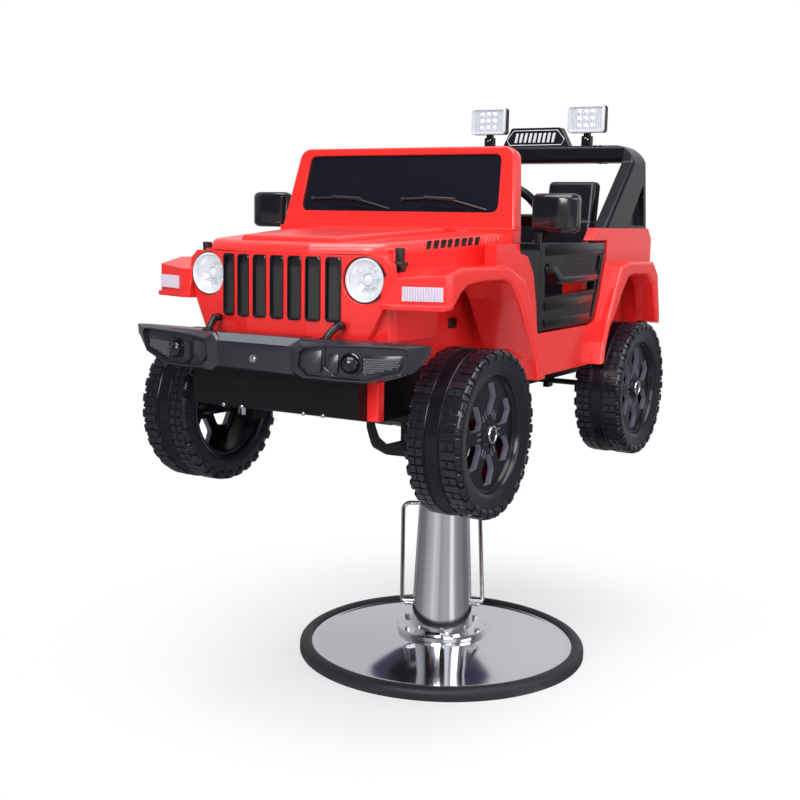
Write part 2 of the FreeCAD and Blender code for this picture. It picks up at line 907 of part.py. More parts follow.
def fork(name, side):
    """The end of the beam: a web, two lugs and the kingpin."""
    across = ("beam_end - beam_half_width", "kingpin_half_track + knuckle_radius")
    web_across = ("beam_end - beam_half_width", "beam_end")
    if side < 0:
        across = ["-(%s)" % end for end in across[::-1]]
        web_across = ["-(%s)" % end for end in web_across[::-1]]
    top = "axle_height + fork_gap"
    low = "axle_height - fork_gap"
    web = box(name + "_web", web_across, beam_depths, (low + " - fork_thickness", "deck"))
    upper = box(name + "_upper", across, beam_depths, (top, top + " + fork_thickness"))
    lower = box(name + "_lower", across, beam_depths, (low + " - fork_thickness", low))
    middle = ("%d * kingpin_half_track" % side, "-front_axle")
    pin = rod(name + "_pin", "kingpin_radius", "fork_gap * 2", middle + (low,))
    return fuse(name, web, upper, lower, pin)


front_beam = fuse("front_axle_beam", beam, fork("fork_left", 1), fork("fork_right", -1))
rear_rod = rod("rear_rod", "axle_radius", "(wheel_half_track + axle_tip - seat_gap) * 2",
               ("-wheel_half_track - axle_tip + seat_gap", "rear_axle", "axle_height"), x_axis)
bracket = box("rear_bracket",
              ("bracket_half_track - bracket_width / 2", "bracket_half_track + bracket_width / 2"),
              ("rear_axle - bracket_depth / 2", "rear_axle + bracket_depth / 2"),
              ("axle_height - bracket_drop", "deck"))
rear_axle = fuse("rear_axle", rear_rod, bracket, mirror("rear_bracket_right", bracket))


def knuckle(name, side):
    """A steering knuckle with its stub axle, bored for the kingpin."""
    middle = ("%d * kingpin_half_track" % side, "-front_axle")
    low = "axle_height - knuckle_height / 2"
    post = rod(name + "_post", "knuckle_radius", "knuckle_height", middle + (low,))
    length = "wheel_half_track - kingpin_half_track + axle_tip - seat_gap"
    stub = rod(name + "_stub", "axle_radius", length, middle + ("axle_height",), x_axis * side)
    solid = fuse(name + "_solid", post, stub)
    bore = rod(name + "_bore", "kingpin_radius + axle_clearance", "knuckle_height + overrun * 2",
               middle + (low + " - overrun",))
    return cut(name, solid, bore)


keep(front_beam, rear_axle, knuckle("knuckle_left", 1), knuckle("knuckle_right", -1))

# Chassis pan: a black open tray between the wheels whose nose is the valance
pan = block("chassis_pan", "side", [
    ("-pan_front", "deck + pan_nose_rise"),
    ("-pan_front", "pan_top"),
    ("pan_tail", "pan_top"),
    ("pan_tail", "deck + pan_nose_rise"),
    ("pan_tail - pan_nose_run", "deck"),
    ("-pan_front + pan_nose_run", "deck"),
], "-pan_half_width", "pan_half_width * 2")
sink(pan, outline(pan, "side", [
    ("-pan_front + pan_wall", "deck + pan_nose_rise + pan_wall"),
    ("-pan_front + pan_wall", "pan_top + overrun"),
    ("pan_tail - pan_wall", "pan_top + overrun"),
    ("pan_tail - pan_wall", "deck + pan_nose_rise + pan_wall"),
    ("pan_tail - pan_nose_run", "deck + pan_wall"),
    ("-pan_front + pan_nose_run", "deck + pan_wall"),
], "-pan_half_width + pan_wall"), "(pan_half_width - pan_wall) * 2")
keep(pan)

# Wheel arch lines as shares of the arch's length and height from the axle
front_inner_shares = (
    (-0.71, 0.835), (-0.47, 0.83), (-0.355, 0.925), (-0.25, 0.98), (-0.02, 1), (0.34, 1),
    (0.467, 0.968), (0.607, 0.847), (0.76, 0.647), (0.952, 0.406), (1, 0.253),
)
front_outer_shares = (
    (-0.66, 1.03), (-0.31, 1.096), (0.4, 1.092), (0.703, 0.988), (0.908, 0.707),
    (1.07, 0.426), (1.148, 0.253),
)
rear_inner_shares = (
    (-0.616, 0.253), (-0.59, 0.386), (-0.5, 0.546), (-0.35, 0.687), (-0.21, 0.839), (-0.079, 0.944),
    (0.07, 0.964), (0.45, 0.952), (0.62, 0.855), (0.7, 0.671), (0.76, 0.518),
)
rear_outer_shares = (
    (-0.677, 0.253), (-0.642, 0.426), (-0.546, 0.606), (-0.389, 0.847), (-0.231, 1.036),
    (-0.066, 1.068), (0.59, 1.06), (0.735, 0.948), (0.835, 0.6), (0.85, 0.5),
)


def arch(shares, axle):
    """Arch corners in the side plane, measured from an axle."""
    return [("%s + arch_length * %g" % (axle, along), "axle_height + arch_height * %g" % up)
            for along, up in shares]


# Door opening as shares of its length and height from its lower front corner
opening_shares = (
    (1, 1.02), (0.994, 0.79), (0.914, 0.345), (0.854, 0.055), (0.756, 0), (0, 0),
    (-0.027, 0.327), (-0.077, 0.673), (-0.155, 0.86), (-0.25, 0.897),
)


def opening(shares):
    return [("door_length * %g - door_front" % along, "door_sill + door_height * %g" % up)
            for along, up in shares]


# Red tub: both side panels, floor, sills, bulkhead, tail panel and wheel boxes
side_panel = block("side_panel", "side", arch(front_outer_shares[:1:-1], "-front_axle") + [
    ("-front_axle + arch_length * 0.4", "cowl"),
    ("-cowl_front", "cowl"),
] + opening(opening_shares[::-1]) + [
    ("door_tail - door_length * 0.23", "door_sill + door_height * 1.02"),
    ("door_tail - door_length * 0.15", "belt"),
    ("tail - side_thickness", "belt"),
    ("tail", "belt - side_thickness"),
    ("tail", "axle_height + arch_height * 0.518"),
] + arch(rear_inner_shares[::-1], "rear_axle"), "panel_inner", "side_thickness")
side_right = mirror("side_panel_right", side_panel)
firewall_depths = ("-firewall_front", "-cowl_back")
well_depths = ("sill_tail - tub_wall", "tail")
well_roof_low = "deck + well_roof_rise"
floor = box("floor", ("-tub_half_width", "tub_half_width"), ("-firewall_front", "tail"),
            ("pan_top", "floor_top"))
bulkhead = box("bulkhead", ("-panel_inner", "panel_inner"), firewall_depths, ("pan_top", "cowl"))
tail_panel = box("tail_panel", ("-panel_inner", "panel_inner"), ("tail - firewall", "tail"), ("sill", "belt"))
rocker = box("rocker", ("tub_half_width", "panel_inner"), ("-firewall_front", "sill_tail"),
             ("sill", "door_sill"))
well_wall = box("well_wall", ("tub_half_width - tub_wall", "tub_half_width"), well_depths,
                ("pan_top", well_roof_low))
well_end = box("well_end", ("tub_half_width - tub_wall", "panel_inner"),
               ("sill_tail - tub_wall", "sill_tail"), ("sill", well_roof_low))
well_roof = box("well_roof", ("tub_half_width - tub_wall", "panel_inner"), well_depths,
                (well_roof_low, well_roof_low + " + well_roof_thickness"))
tub_side = fuse("tub_side", rocker, well_wall, well_end, well_roof)
tub = fuse("body_tub", side_panel, side_right, floor, bulkhead, tail_panel,
           tub_side, mirror("tub_side_right", tub_side))
keep(tub)

# Engine bay and bonnet share one plan: flat in front, swept corners, widening back
def nose_plan(front, corner_front, half_width, corner_half, back, back_half):
    """Plan corners of a tapered nose piece, from the left rear round the front."""
    left = [
        (back_half, back),
        (back_half, "-cowl_front"),
        (corner_half, corner_front),
        (half_width, front),
    ]
    return left + [("-(%s)" % across, along) for across, along in left[::-1]]


def slope(rise):
    """The bonnet's lower plane in the side view, raised by a sum of sizes."""
    run = "(nose_front - cowl_front)"
    fall = "(cowl - bay_nose)"
    past = "overrun * 4"
    return [
        ("-nose_front - %s" % past, "bay_nose - %s * %s / %s + %s" % (fall, past, run, rise)),
        ("-cowl_front", "cowl + %s" % rise),
    ]


def on_nose_corner(half_width):
    """Chooses the upright edges where the nose turns into the flanks."""
    return lambda edge: abs(abs(edge.CenterOfMass.x) - size(half_width)) < size("overrun")


bay_front = "-nose_front + grille_thickness"
bay = block("bay_shell", "top", nose_plan(
    bay_front, "-nose_corner_front + grille_thickness", "nose_flat_half_width", "hood_half_width",
    "-firewall_front", "bay_half_width"), "bay_low", "cowl - bay_low")
soften(bay, "bay_corner_round", runs_along(2), on_nose_corner("hood_half_width"))
sink(bay, outline(bay, "side", slope("0") + [
    ("-cowl_front", "cowl + hood_thickness"),
    ("-nose_front - overrun * 4", "cowl + hood_thickness"),
], "-bay_half_width - overrun"), "(bay_half_width + overrun) * 2")
bay_belly = box("bay_belly", ("-pan_half_width", "pan_half_width"),
                (bay_front + " + overrun", "-firewall_front"), ("pan_top", "bay_low"))
fin = box("bay_fin", ("pan_half_width", "pan_half_width + fin_width"),
          (bay_front + " + overrun", "-fin_back"), ("deck + fin_rise", "bay_low"))
wheel_well = box("wheel_well", ("pan_half_width", "bay_half_width + overrun"),
                 ("-well_front", "-firewall_front + overrun"), ("bay_low - overrun", "deck + well_top_rise"))
lamp_seat = rod("lamp_seat", "lamp_radius", "nose_front + overrun - lamp_back",
                ("lamp_half_track", "-lamp_back", "lamp_height"), -y_axis)
lamp_seats = both_sides("lamp_seats", lamp_seat)
bay_solid = fuse("bay_solid", bay, bay_belly, fin, mirror("bay_fin_right", fin))
bay = cut("engine_bay", cut("bay_welled", bay_solid, both_sides("wheel_wells", wheel_well)), lamp_seats)

hood = block("hood", "top", nose_plan(
    "-hood_front", "-hood_corner_front", "nose_flat_half_width", "hood_nose_half_width",
    "-cowl_front", "bay_half_width",
)[1:-1], "bay_nose - hood_thickness", "cowl - bay_nose + hood_thickness * 3")
soften(hood, "hood_corner_round", runs_along(2), on_nose_corner("hood_nose_half_width"))


def trim(body, low, high, back):
    """Cut everything between two side-view lines."""
    corners = low + [(back, low[1][1]), (back, high)] + [(low[0][0], high)]
    sketch = outline(body, "side", corners, "-bay_half_width - overrun")
    return sink(body, sketch, "(bay_half_width + overrun) * 2")


trim(hood, slope("hood_thickness"), "cowl + hood_thickness * 4", "-cowl_front + overrun")


def on_hood_top(edge):
    """True for the bonnet's upper rim, apart from its rear edge."""
    middle = edge.CenterOfMass
    share = (size("nose_front") + middle.y) / size("nose_front - cowl_front")
    top = size("bay_nose + hood_thickness") + share * size("cowl - bay_nose")
    return abs(middle.z - top) < size("overrun") / 4 and middle.y < -size("cowl_front + overrun")


soften(hood, "hood_round", on_hood_top)
grow(hood, outline(hood, "top", [
    ("-bulge_front_half_width", "-bulge_front"),
    ("bulge_front_half_width", "-bulge_front"),
    ("bulge_half_width", "-bulge_back"),
    ("-bulge_half_width", "-bulge_back"),
], "bay_nose + hood_thickness / 2"), "cowl - bay_nose + hood_thickness * 2")
trim(hood, slope("0"), "bay_nose - hood_thickness - overrun", "-cowl_front + overrun")
trim(hood, slope("hood_thickness + bulge_rise"), "cowl + hood_thickness * 4", "-cowl_front + overrun")


def on_bulge_top(edge):
    """True for the rim of the raised middle of the bonnet."""
    middle = edge.CenterOfMass
    share = (size("nose_front") + middle.y) / size("nose_front - cowl_front")
    top = size("bay_nose + hood_thickness + bulge_rise") + share * size("cowl - bay_nose")
    return abs(middle.z - top) < size("overrun") / 4


soften(hood, "bulge_rise * 0.8", on_bulge_top)
keep(bay, hood)


# Grille panel: one bent red plate with seven slots and two lamp holes
def face_band(name, proud, depth):
    """A bent band that follows the nose's plan, set in from its face."""
    front = [
        ("-nose_half_width", "-nose_corner_front + %s" % proud),
        ("-nose_flat_half_width", "-nose_front + %s" % proud),
        ("nose_flat_half_width", "-nose_front + %s" % proud),
        ("nose_half_width", "-nose_corner_front + %s" % proud),
    ]
    back = [(across, along + " + " + depth) for across, along in front[::-1]]
    return block(name, "top", front + back, "bay_low", "bay_nose - bay_low")


face_half_shares = ((0.79, 0), (0.94, 0.45), (1, 0.72), (0.985, 0.9), (0.91, 1))
face_half = [("nose_half_width * %g" % across, "bay_low + (bay_nose - bay_low) * %g" % up)
             for across, up in face_half_shares]
face = block("face_outline", "front", face_half + [("-(%s)" % across, up) for across, up in face_half[::-1]],
             "lamp_back", "nose_front - lamp_back + overrun")
slots = []
inserts = []
hollows = []
for number in range(int(size("slot_count"))):
    middle = "slot_pitch * (%d - (slot_count - 1) / 2)" % number
    depths = ("-nose_front - overrun", "-lamp_back")

    def slot_box(name, inset):
        across = (middle + " - slot_width / 2 + " + inset, middle + " + slot_width / 2 - (%s)" % inset)
        up = ("deck + slot_low_rise + " + inset, "slot_high - (%s)" % inset)
        return box(name, across, depths, up)

    slots.append(slot_box("slot", "0"))
    inserts.append(slot_box("slot_insert", "slot_gap"))
    hollows.append(slot_box("slot_hollow", "slot_gap + insert_wall"))
panel_solid = common("panel_solid", face_band("panel_band", "0", "grille_thickness"), face)
panel_slotted = cut("panel_slotted", panel_solid, group("slots", *slots))
grille = cut("grille_panel", panel_slotted, lamp_seats)
insert_solids = common("insert_solids", face_band("insert_band", "overrun", "grille_thickness - overrun"),
                       group("slot_inserts", *inserts))
hollow_band = face_band("hollow_band", "-overrun", "grille_thickness - insert_floor")
insert_hollows = common("insert_hollows", hollow_band, group("slot_hollows", *hollows))
keep(grille, cut("grille_inserts", insert_solids, insert_hollows))

# Headlamps: a deep black bucket with a clear lens on each side
bucket = cut("headlamp_bucket", rod("bucket_solid", "lamp_radius", "lamp_front - lamp_back",
                                    ("lamp_half_track", "-lamp_back", "lamp_height"), -y_axis),
             rod("bucket_bore", "lamp_radius - lamp_ring", "lamp_front - lamp_back",
                 ("lamp_half_track", "-lamp_back - lamp_ring", "lamp_height"), -y_axis))
lens = rod("headlamp_lens", "lamp_radius - lamp_ring", "lens_depth",
           ("lamp_half_track", "-lamp_front + lens_setback + lens_depth", "lamp_height"), -y_axis)
keep(both_sides("headlamp_buckets", bucket), both_sides("headlamp_lenses", lens))

# Flares: the front ones reach in to the engine bay, the rear ones sit on the tub
front_line = arch(front_outer_shares, "-front_axle") + arch(front_inner_shares[::-1], "-front_axle")
front_arch = block("front_arch", "side", front_line, "fender_inner", "fender_width - fender_inner")
soften(front_arch, "flare_round", lies_at(0, "fender_width"))


def sweep_line(across):
    """The swept front face of a front flare in plan."""
    fall = "(fender_front - sweep_front) / (sweep_half_width - fender_inner)"
    return "-fender_front + (%s - fender_inner) * %s" % (across, fall)


def sweep(name, proud, low, high):
    """Everything in front of the swept face between two heights."""
    return block(name, "top", [
        ("fender_inner", "-fender_front - " + proud),
        ("sweep_half_width", "-sweep_front - " + proud),
        ("fender_width", "-sweep_back - " + proud),
        ("fender_width + overrun", "-sweep_back - " + proud),
        ("fender_width + overrun", "-fender_front - ledge_proud * 2"),
        ("fender_inner", "-fender_front - ledge_proud * 2"),
    ], low, "%s - (%s)" % (high, low))


ledge = "deck + ledge_rise"
front_arch = cut("swept_above", front_arch, sweep("sweep_upper", "0", ledge, "cowl"))
front_arch = cut("swept_below", front_arch, sweep("sweep_lower", "ledge_proud", "bay_low", ledge))
nose_pieces = group("nose_pieces", bay, hood, grille, lamp_seats)
cabin_front = fuse("cabin_front", rocker, bulkhead, floor)
front_fender = cut("front_fender", cut("front_arch_clear", front_arch, cabin_front), nose_pieces)
rear_line = arch(rear_outer_shares, "rear_axle") + arch(rear_inner_shares[::-1], "rear_axle")
rear_fender = block("rear_fender", "side", rear_line, "body_half_width", "fender_width - body_half_width")
soften(rear_fender, "flare_round", lies_at(0, "fender_width"))
keep(both_sides("front_fenders", front_fender), both_sides("rear_fenders", rear_fender))
marker = block("fender_lamp", "top", [
    ("fender_lamp_inner", sweep_line("fender_lamp_inner")),
    ("fender_lamp_outer", sweep_line("fender_lamp_outer")),
    ("fender_lamp_outer", sweep_line("fender_lamp_outer") + " - fender_lamp_depth"),
    ("fender_lamp_inner", sweep_line("fender_lamp_inner") + " - fender_lamp_depth"),
], "deck + fender_lamp_low_rise", "fender_lamp_high_rise - fender_lamp_low_rise")
keep(both_sides("fender_lamps", marker))

# Front bumper with its fog lamps and tow hooks
bumper_half = [
    ("bumper_half_width - side_thickness * 2", "-bumper_back + side_thickness"),
    ("bumper_half_width", "-bumper_back + side_thickness"),
    ("bumper_half_width", "-bumper_back + bumper_round"),
    ("bumper_half_width * 0.9", "-bumper_back - (bumper_front - bumper_back) * 0.35"),
    ("bumper_half_width * 0.62", "-bumper_back - (bumper_front - bumper_back) * 0.76"),
    ("bumper_pod_half", "-bumper_front - bumper_pod_proud"),
    ("bumper_centre_half", "-bumper_front"),
]
bumper_rear = [("bumper_half_width * 0.65", "-bumper_back")]
bumper_left = bumper_rear + bumper_half
bumper_block = block("bumper_block", "top", bumper_left + [
    ("-(%s)" % across, along) for across, along in bumper_left[::-1]
], "bumper_low", "bumper_high - bumper_low")
soften(bumper_block, "bumper_round", lies_at(2, "bumper_high"),
       lambda edge: edge.CenterOfMass.y < -size("bumper_back + overrun"))
soften(bumper_block, "bumper_round", lies_at(2, "bumper_low"),
       lambda edge: edge.CenterOfMass.y < -size("bumper_back + overrun"))
bumper_height = "(bumper_high - bumper_low)"
taper = [
    ("bumper_half_width * 0.66", "bumper_low"),
    ("bumper_half_width * 0.91", "bumper_low + %s / 2" % bumper_height),
    ("bumper_half_width + overrun", "bumper_low + %s * 0.88" % bumper_height),
    ("bumper_half_width + overrun", "bumper_low - overrun"),
    ("bumper_half_width * 0.66", "bumper_low - overrun"),
]
for taper_side in (taper, [("-(%s)" % across, up) for across, up in taper[::-1]]):
    sink(bumper_block, outline(bumper_block, "front", taper_side, "bumper_back - side_thickness - overrun"),
         "bumper_front - bumper_back + side_thickness + bumper_pod_proud + overrun * 2")
fog_dome = [("fog_radius * cos(%d)" % angle, "fog_radius * sin(%d)" % angle) for angle in (0, 22, 45, 68)]
fog_back = [("0", "-fog_radius"), ("fog_radius", "-fog_radius")]
fog = turned("fog_lamp", fog_back + fog_dome + [("0", "fog_radius")])
place(fog, ("fog_half_track", "-bumper_front + fog_radius", "(bumper_low + bumper_high) / 2"), x_axis, 90)
fogs = both_sides("fog_lamps", fog)
bumper = cut("front_bumper", bumper_block, fogs)
hook_foot = "-bumper_front + hook_bar"
hook_top = "-bumper_back + hook_width"
hook = block("tow_hook", "side", [
    (hook_foot, "bumper_high"),
    (hook_foot + " + hook_bar", "bumper_high"),
    (hook_top + " - hook_bar / 2", "bumper_high + hook_rise * 0.75"),
    (hook_top, "bumper_high + hook_rise * 0.75"),
    (hook_top, "bumper_high + hook_rise * 1.1"),
    (hook_top + " - hook_bar", "bumper_high + hook_rise * 1.1"),
    (hook_top + " - hook_bar * 1.2", "bumper_high + hook_rise"),
], "hook_half_track - hook_width / 2", "hook_width")
keep(bumper, fogs, both_sides("tow_hooks", hook))

# Rubber bonnet latches, shaped to the bonnet's flank
latch_block = box("latch_block", ("hood_nose_half_width", "hood_half_width + latch_proud * 2"),
                  ("-latch_front", "-latch_front + latch_width"),
                  ("bay_nose - latch_drop", "bay_nose + hood_thickness"))
latch_clear = cut("latch_clear", latch_block, nose_pieces)
latch = cut("hood_latch", latch_clear, front_fender)
keep(both_sides("hood_latches", latch))

# Windscreen: a leaning frame on a cowl, with its dark panel and moulded wipers
screen_base = ("0", "-cowl_back", "cowl_top")
screen_lean = -sizes["screen_lean_degrees"]
screen = block("screen_frame", "front", [
    ("-screen_half_width", "-screen_foot"),
    ("screen_half_width", "-screen_foot"),
    ("screen_half_width", "0"),
    ("screen_top_half_width", "screen_slope"),
    ("-screen_top_half_width", "screen_slope"),
    ("-screen_half_width", "0"),
], "0", "screen_thickness")
soften(screen, "screen_corner", runs_along(1), lambda edge: edge.CenterOfMass.z > size("screen_slope") / 2)
soften(screen, "flare_round", lies_at(1, "-screen_thickness"),
       lambda edge: edge.CenterOfMass.z > size("overrun"))
glass_outline = [
    ("-glass_half_low", "glass_low"),
    ("glass_half_low", "glass_low"),
    ("glass_half_high", "glass_high"),
    ("-glass_half_high", "glass_high"),
]
pane_start = "screen_thickness - glass_setback - glass_thickness"
cutter = block("screen_cutter", "front", glass_outline, "-overrun", "screen_thickness + overrun * 2")
soften(cutter, "glass_round", runs_along(1))
place(cutter, screen_base, x_axis, screen_lean)
place(screen, screen_base, x_axis, screen_lean)
pane = block("pane", "front", glass_outline, pane_start, "glass_thickness")
soften(pane, "glass_round", runs_along(1))
place(pane, screen_base, x_axis, screen_lean)
cowl = box("cowl_cap", ("-screen_half_width", "screen_half_width"), ("-cowl_front", "-cowl_back"),
           ("cowl", "cowl_top"))
frame = cut("windshield_frame", fuse("screen_and_cowl", screen, cowl), cutter)


def wiper(name, middle):
    """A thin blade and arm standing on the face of the pane."""
    half = "wiper_length / 2"
    blade = block(name, "front", [
        (middle + " - " + half, "glass_low + wiper_width * 2.2"),
        (middle + " + " + half, "glass_low + wiper_width * 1.2"),
        (middle + " + " + half, "glass_low + wiper_width * 2.2"),
        (middle + " - " + half, "glass_low + wiper_width * 3.2"),
    ], pane_start + " + glass_thickness", "wiper_height")
    return place(blade, screen_base, x_axis, screen_lean)


keep(frame, fuse("windshield_panel", pane, wiper("wiper_left", "wiper_offset"),
                 wiper("wiper_right", "-wiper_offset")))

# Dashboard with the black corner cheeks that carry the mirrors
dash_front = "-cowl_back"
dash_high = "cowl + dash_round"
dash = block("dash_beam", "side", [
    (dash_front, dash_high + " - dash_height"),
    (dash_front, dash_high),
    (dash_front + " + dash_depth * 0.5", dash_high),
    (dash_front + " + dash_depth", dash_high + " - dash_round"),
    (dash_front + " + dash_depth", dash_high + " - dash_height * 0.7"),
    (dash_front + " + dash_depth * 0.6", dash_high + " - dash_height"),
], "-dash_half_width", "dash_half_width * 2")
hinge_clear = "-door_hinge - hinge_tube - seat_gap"
cheek = block("cheek", "side", [
    (hinge_clear, "door_sill"),
    (hinge_clear, "door_top"),
    ("-cowl_front + seat_gap", "door_top"),
] + opening(opening_shares[:-6:-1]), "door_inner", "door_thickness + door_inset / 2")
cheek_arm = box("cheek_arm", ("dash_half_width", "door_inner"), ("-cowl_back", hinge_clear),
                ("door_sill + door_height * 0.9", "door_top"))
mirror_pad = box("mirror_pad", ("door_inner", "mirror_post_x + mirror_post_radius + mirror_pad / 2"),
                 ("-mirror_back - mirror_pad_half", "-mirror_back + mirror_pad_half"),
                 ("door_top - mirror_pad_half", "door_top"))
mirror_post = rod("mirror_post", "mirror_post_radius",
                  "mirror_low + mirror_post_height - door_top",
                  ("mirror_post_x", "-mirror_back", "door_top"))
cheek_side = fuse("cheek_side", cheek, cheek_arm, mirror_pad, mirror_post)
dash_solid = fuse("dash_solid", dash, cheek_side, mirror("cheek_side_right", cheek_side))
dashboard = cut("dashboard", dash_solid, tub)
keep(dashboard)

# Folding door mirrors
shell = block("mirror_shell", "front", rectangle(
    "mirror_inner", "mirror_inner + mirror_width",
    "mirror_low", "mirror_low + mirror_height",
), "mirror_back - mirror_depth / 2", "mirror_depth")
soften(shell, "mirror_round", runs_along(1))
soften(shell, "mirror_round * 0.8", lies_at(1, "-mirror_back - mirror_depth / 2"))
socket = rod("mirror_socket", "mirror_post_radius + axle_clearance",
             "mirror_post_height + mirror_gap + overrun",
             ("mirror_post_x", "-mirror_back", "mirror_low - overrun"))
pair("mirror_left", "mirror_right", cut("mirror_left", shell, socket))

# Steering wheel on its column
steer_base = ("steer_half_track", "0", "steer_height")
steer_tilt = -(90 - sizes["steer_tilt_degrees"])


def grip():
    """The rim, hub and three spokes as one body in the wheel's own frame."""
    body = new_body("steering_wheel")
    hoop_sketch = disc(body, "front", "steer_radius", "0", "steer_grip_radius")
    hoop = body.newObject("PartDesign::Revolution", "steering_hoop")
    hoop.Profile = hoop_sketch
    hoop.ReferenceAxis = (hoop_sketch, ["V_Axis"])
    hoop.Angle = 360
    body.Tip = hoop
    settle(hoop)
    grow(body, disc(body, "top", "0", "0", "steer_hub_radius", "-steer_hub_height / 2"), "steer_hub_height")
    half = "steer_spoke_width / 2"
    for spoke in (
        rectangle("-steer_radius", "steer_radius", "-" + half, half),
        rectangle("-" + half, half, "-steer_radius", "0"),
    ):
        grow(body, outline(body, "top", spoke, "-steer_spoke_height / 2"), "steer_spoke_height")
    return place(body, steer_base, x_axis, steer_tilt)


steering_wheel = grip()
steer_out = FreeCAD.Rotation(x_axis, steer_tilt).multVec(z_axis)
column_end = "(steer_hub_height / 2 + steer_gap + steer_column_length)"
steer_column = cut("steering_column", rod("column_rod", "steer_column_radius", "steer_column_length", (
    "steer_half_track",
    "-%s * cos(steer_tilt_degrees)" % column_end,
    "steer_height - %s * sin(steer_tilt_degrees)" % column_end,
), steer_out), dashboard)
keep(steering_wheel, steer_column)

# Doors: a moulded frame with a window under the rail and its hinge tube in front
door_frame = block("door_frame", "side", [
    ("-door_hinge", "door_sill + door_gap"),
    ("door_length * 0.756 - door_front - door_gap", "door_sill + door_gap"),
    ("door_length * 0.854 - door_front - door_gap", "door_sill + door_height * 0.055 + door_gap"),
    ("door_length * 0.914 - door_front - door_gap", "door_sill + door_height * 0.345 + door_gap"),
    ("door_length * 0.994 - door_front - door_gap", "door_sill + door_height * 0.79 + door_gap"),
    ("door_tail - door_gap", "door_top"),
    ("-door_hinge", "door_top"),
], "door_inner", "door_thickness")
soften(door_frame, "door_round", lies_at(0, "door_inner + door_thickness"),
       lambda edge: edge.CenterOfMass.y > -size("door_hinge - door_gap"))
sink(door_frame, outline(door_frame, "side", [
    ("door_post - door_hinge", "door_sill + door_height * 0.39"),
    ("door_length * 0.83 - door_front", "door_sill + door_height * 0.43"),
    ("door_length * 0.84 - door_front", "door_sill + door_height * 0.53"),
    ("door_length * 0.28 - door_front", "door_sill + door_height * 0.53"),
    ("door_length * 0.14 - door_front", "door_sill + door_height * 0.77"),
    ("door_post - door_hinge", "door_sill + door_height * 0.77"),
], "door_inner - overrun"), "door_thickness + overrun * 2")
hinge_rod = rod("hinge_rod", "hinge_tube", "door_top - door_sill - door_gap * 2",
                ("door_middle", "-door_hinge", "door_sill + door_gap"))
pair("door_left", "door_right", fuse("door_left", door_frame, hinge_rod))

# Two moulded seats in one shell, with square headrests
def seat_lean(up):
    """How far the seat back has leaned back at a height."""
    return "seat_back_lean * (%s - seat_top) / (seat_back_top - seat_top)" % up


seat_base = block("seat_base", "side", [
    ("seat_front", "floor_top"),
    ("seat_front", "seat_top - seat_round / 2"),
    ("seat_front + seat_round", "seat_top"),
    ("seat_back_front", "seat_top - seat_round / 2"),
    ("seat_back_front + seat_back_depth", "seat_top"),
    ("seat_back_front + seat_back_depth", "floor_top"),
], "-seat_half_width", "seat_half_width * 2")


def seat_part(name, front, depth, low, high, inner, outer):
    """A leaning slab on the left seat, rounded all round its front."""
    slab = block(name, "side", [
        (front + " + " + seat_lean("(%s)" % low), low),
        (front + " + " + seat_lean("(%s)" % high), high),
        (front + " + " + seat_lean("(%s)" % high) + " + " + depth, high),
        (front + " + " + seat_lean("(%s)" % low) + " + " + depth, low),
    ], inner, "%s - %s" % (outer, inner))
    upper = size("(%s) + seat_round" % low)
    return soften(slab, "seat_round * 0.9", lambda edge: edge.CenterOfMass.z > upper)


seat_back = seat_part("seat_back", "seat_back_front", "seat_back_depth", "seat_top - seat_round",
                      "seat_back_top", "seat_back_inner", "seat_half_width")
headrest = seat_part("headrest", "seat_back_front + headrest_setback / 2", "headrest_depth",
                     "seat_back_top - seat_round", "seat_back_top + headrest_height",
                     "headrest_inner", "headrest_outer")
seat_side = fuse("seat_side", seat_back, headrest)
keep(fuse("seat_shell", seat_base, seat_side, mirror("seat_side_right", seat_side)))

# Roll bar: two leaning side frames under a cross beam, with the sign board
hoop_plate = block("hoop_plate", "side", [
    ("hoop_front", "-bulge_rise"),
    ("hoop_knee", "hoop_rise - hoop_beam_height"),
    ("hoop_beam_front", "hoop_rise"),
    ("hoop_beam_front + hoop_beam_depth", "hoop_rise"),
    ("hoop_tail", "hoop_rise - hoop_beam_height"),
    ("hoop_tail", "-bulge_rise"),
], "0", "hoop_thickness")
soften(hoop_plate, "hoop_round", runs_along(0), lambda edge: edge.CenterOfMass.z > size("hoop_rise / 2"))
soften(hoop_plate, "hoop_round * 0.8", lies_at(0, "hoop_thickness"),
       lambda edge: edge.CenterOfMass.z > 0)
sink(hoop_plate, outline(hoop_plate, "side", [
    ("hoop_knee - hoop_beam_height", "hoop_round * 0.4"),
    ("hoop_tail - hoop_round * 2", "hoop_round * 0.4"),
    ("hoop_tail - hoop_round * 1.8", "hoop_rise / 2"),
    ("hoop_tail - hoop_round * 2.8", "hoop_rise / 2"),
], "hoop_thickness - hoop_recess"), "hoop_recess + overrun")
place(hoop_plate, ("hoop_foot", "0", "belt"), y_axis, -sizes["hoop_lean_degrees"])
hoop_beam = block("hoop_beam", "side", rectangle(
    "hoop_beam_front", "hoop_beam_front + hoop_beam_depth", "hoop_top - hoop_beam_height", "hoop_top",
), "-hoop_beam_half_width", "hoop_beam_half_width * 2")
soften(hoop_beam, "hoop_round", runs_along(0))
hoop_envelope = block("hoop_envelope", "front", [
    ("-hoop_foot_half_width", "belt - bulge_rise * 2"),
    ("hoop_foot_half_width", "belt - bulge_rise * 2"),
    ("hoop_top_half_width", "hoop_top"),
    ("-hoop_top_half_width", "hoop_top"),
], "-hoop_tail - overrun", "hoop_tail - hoop_front + overrun * 2")
soften(hoop_envelope, "hoop_corner", runs_along(1),
       lambda edge: edge.CenterOfMass.z > size("hoop_top - hoop_corner"))
hoop_solid = common("hoop_solid", fuse(
    "hoop_frames", hoop_plate, mirror("hoop_plate_right", hoop_plate), hoop_beam,
), hoop_envelope)
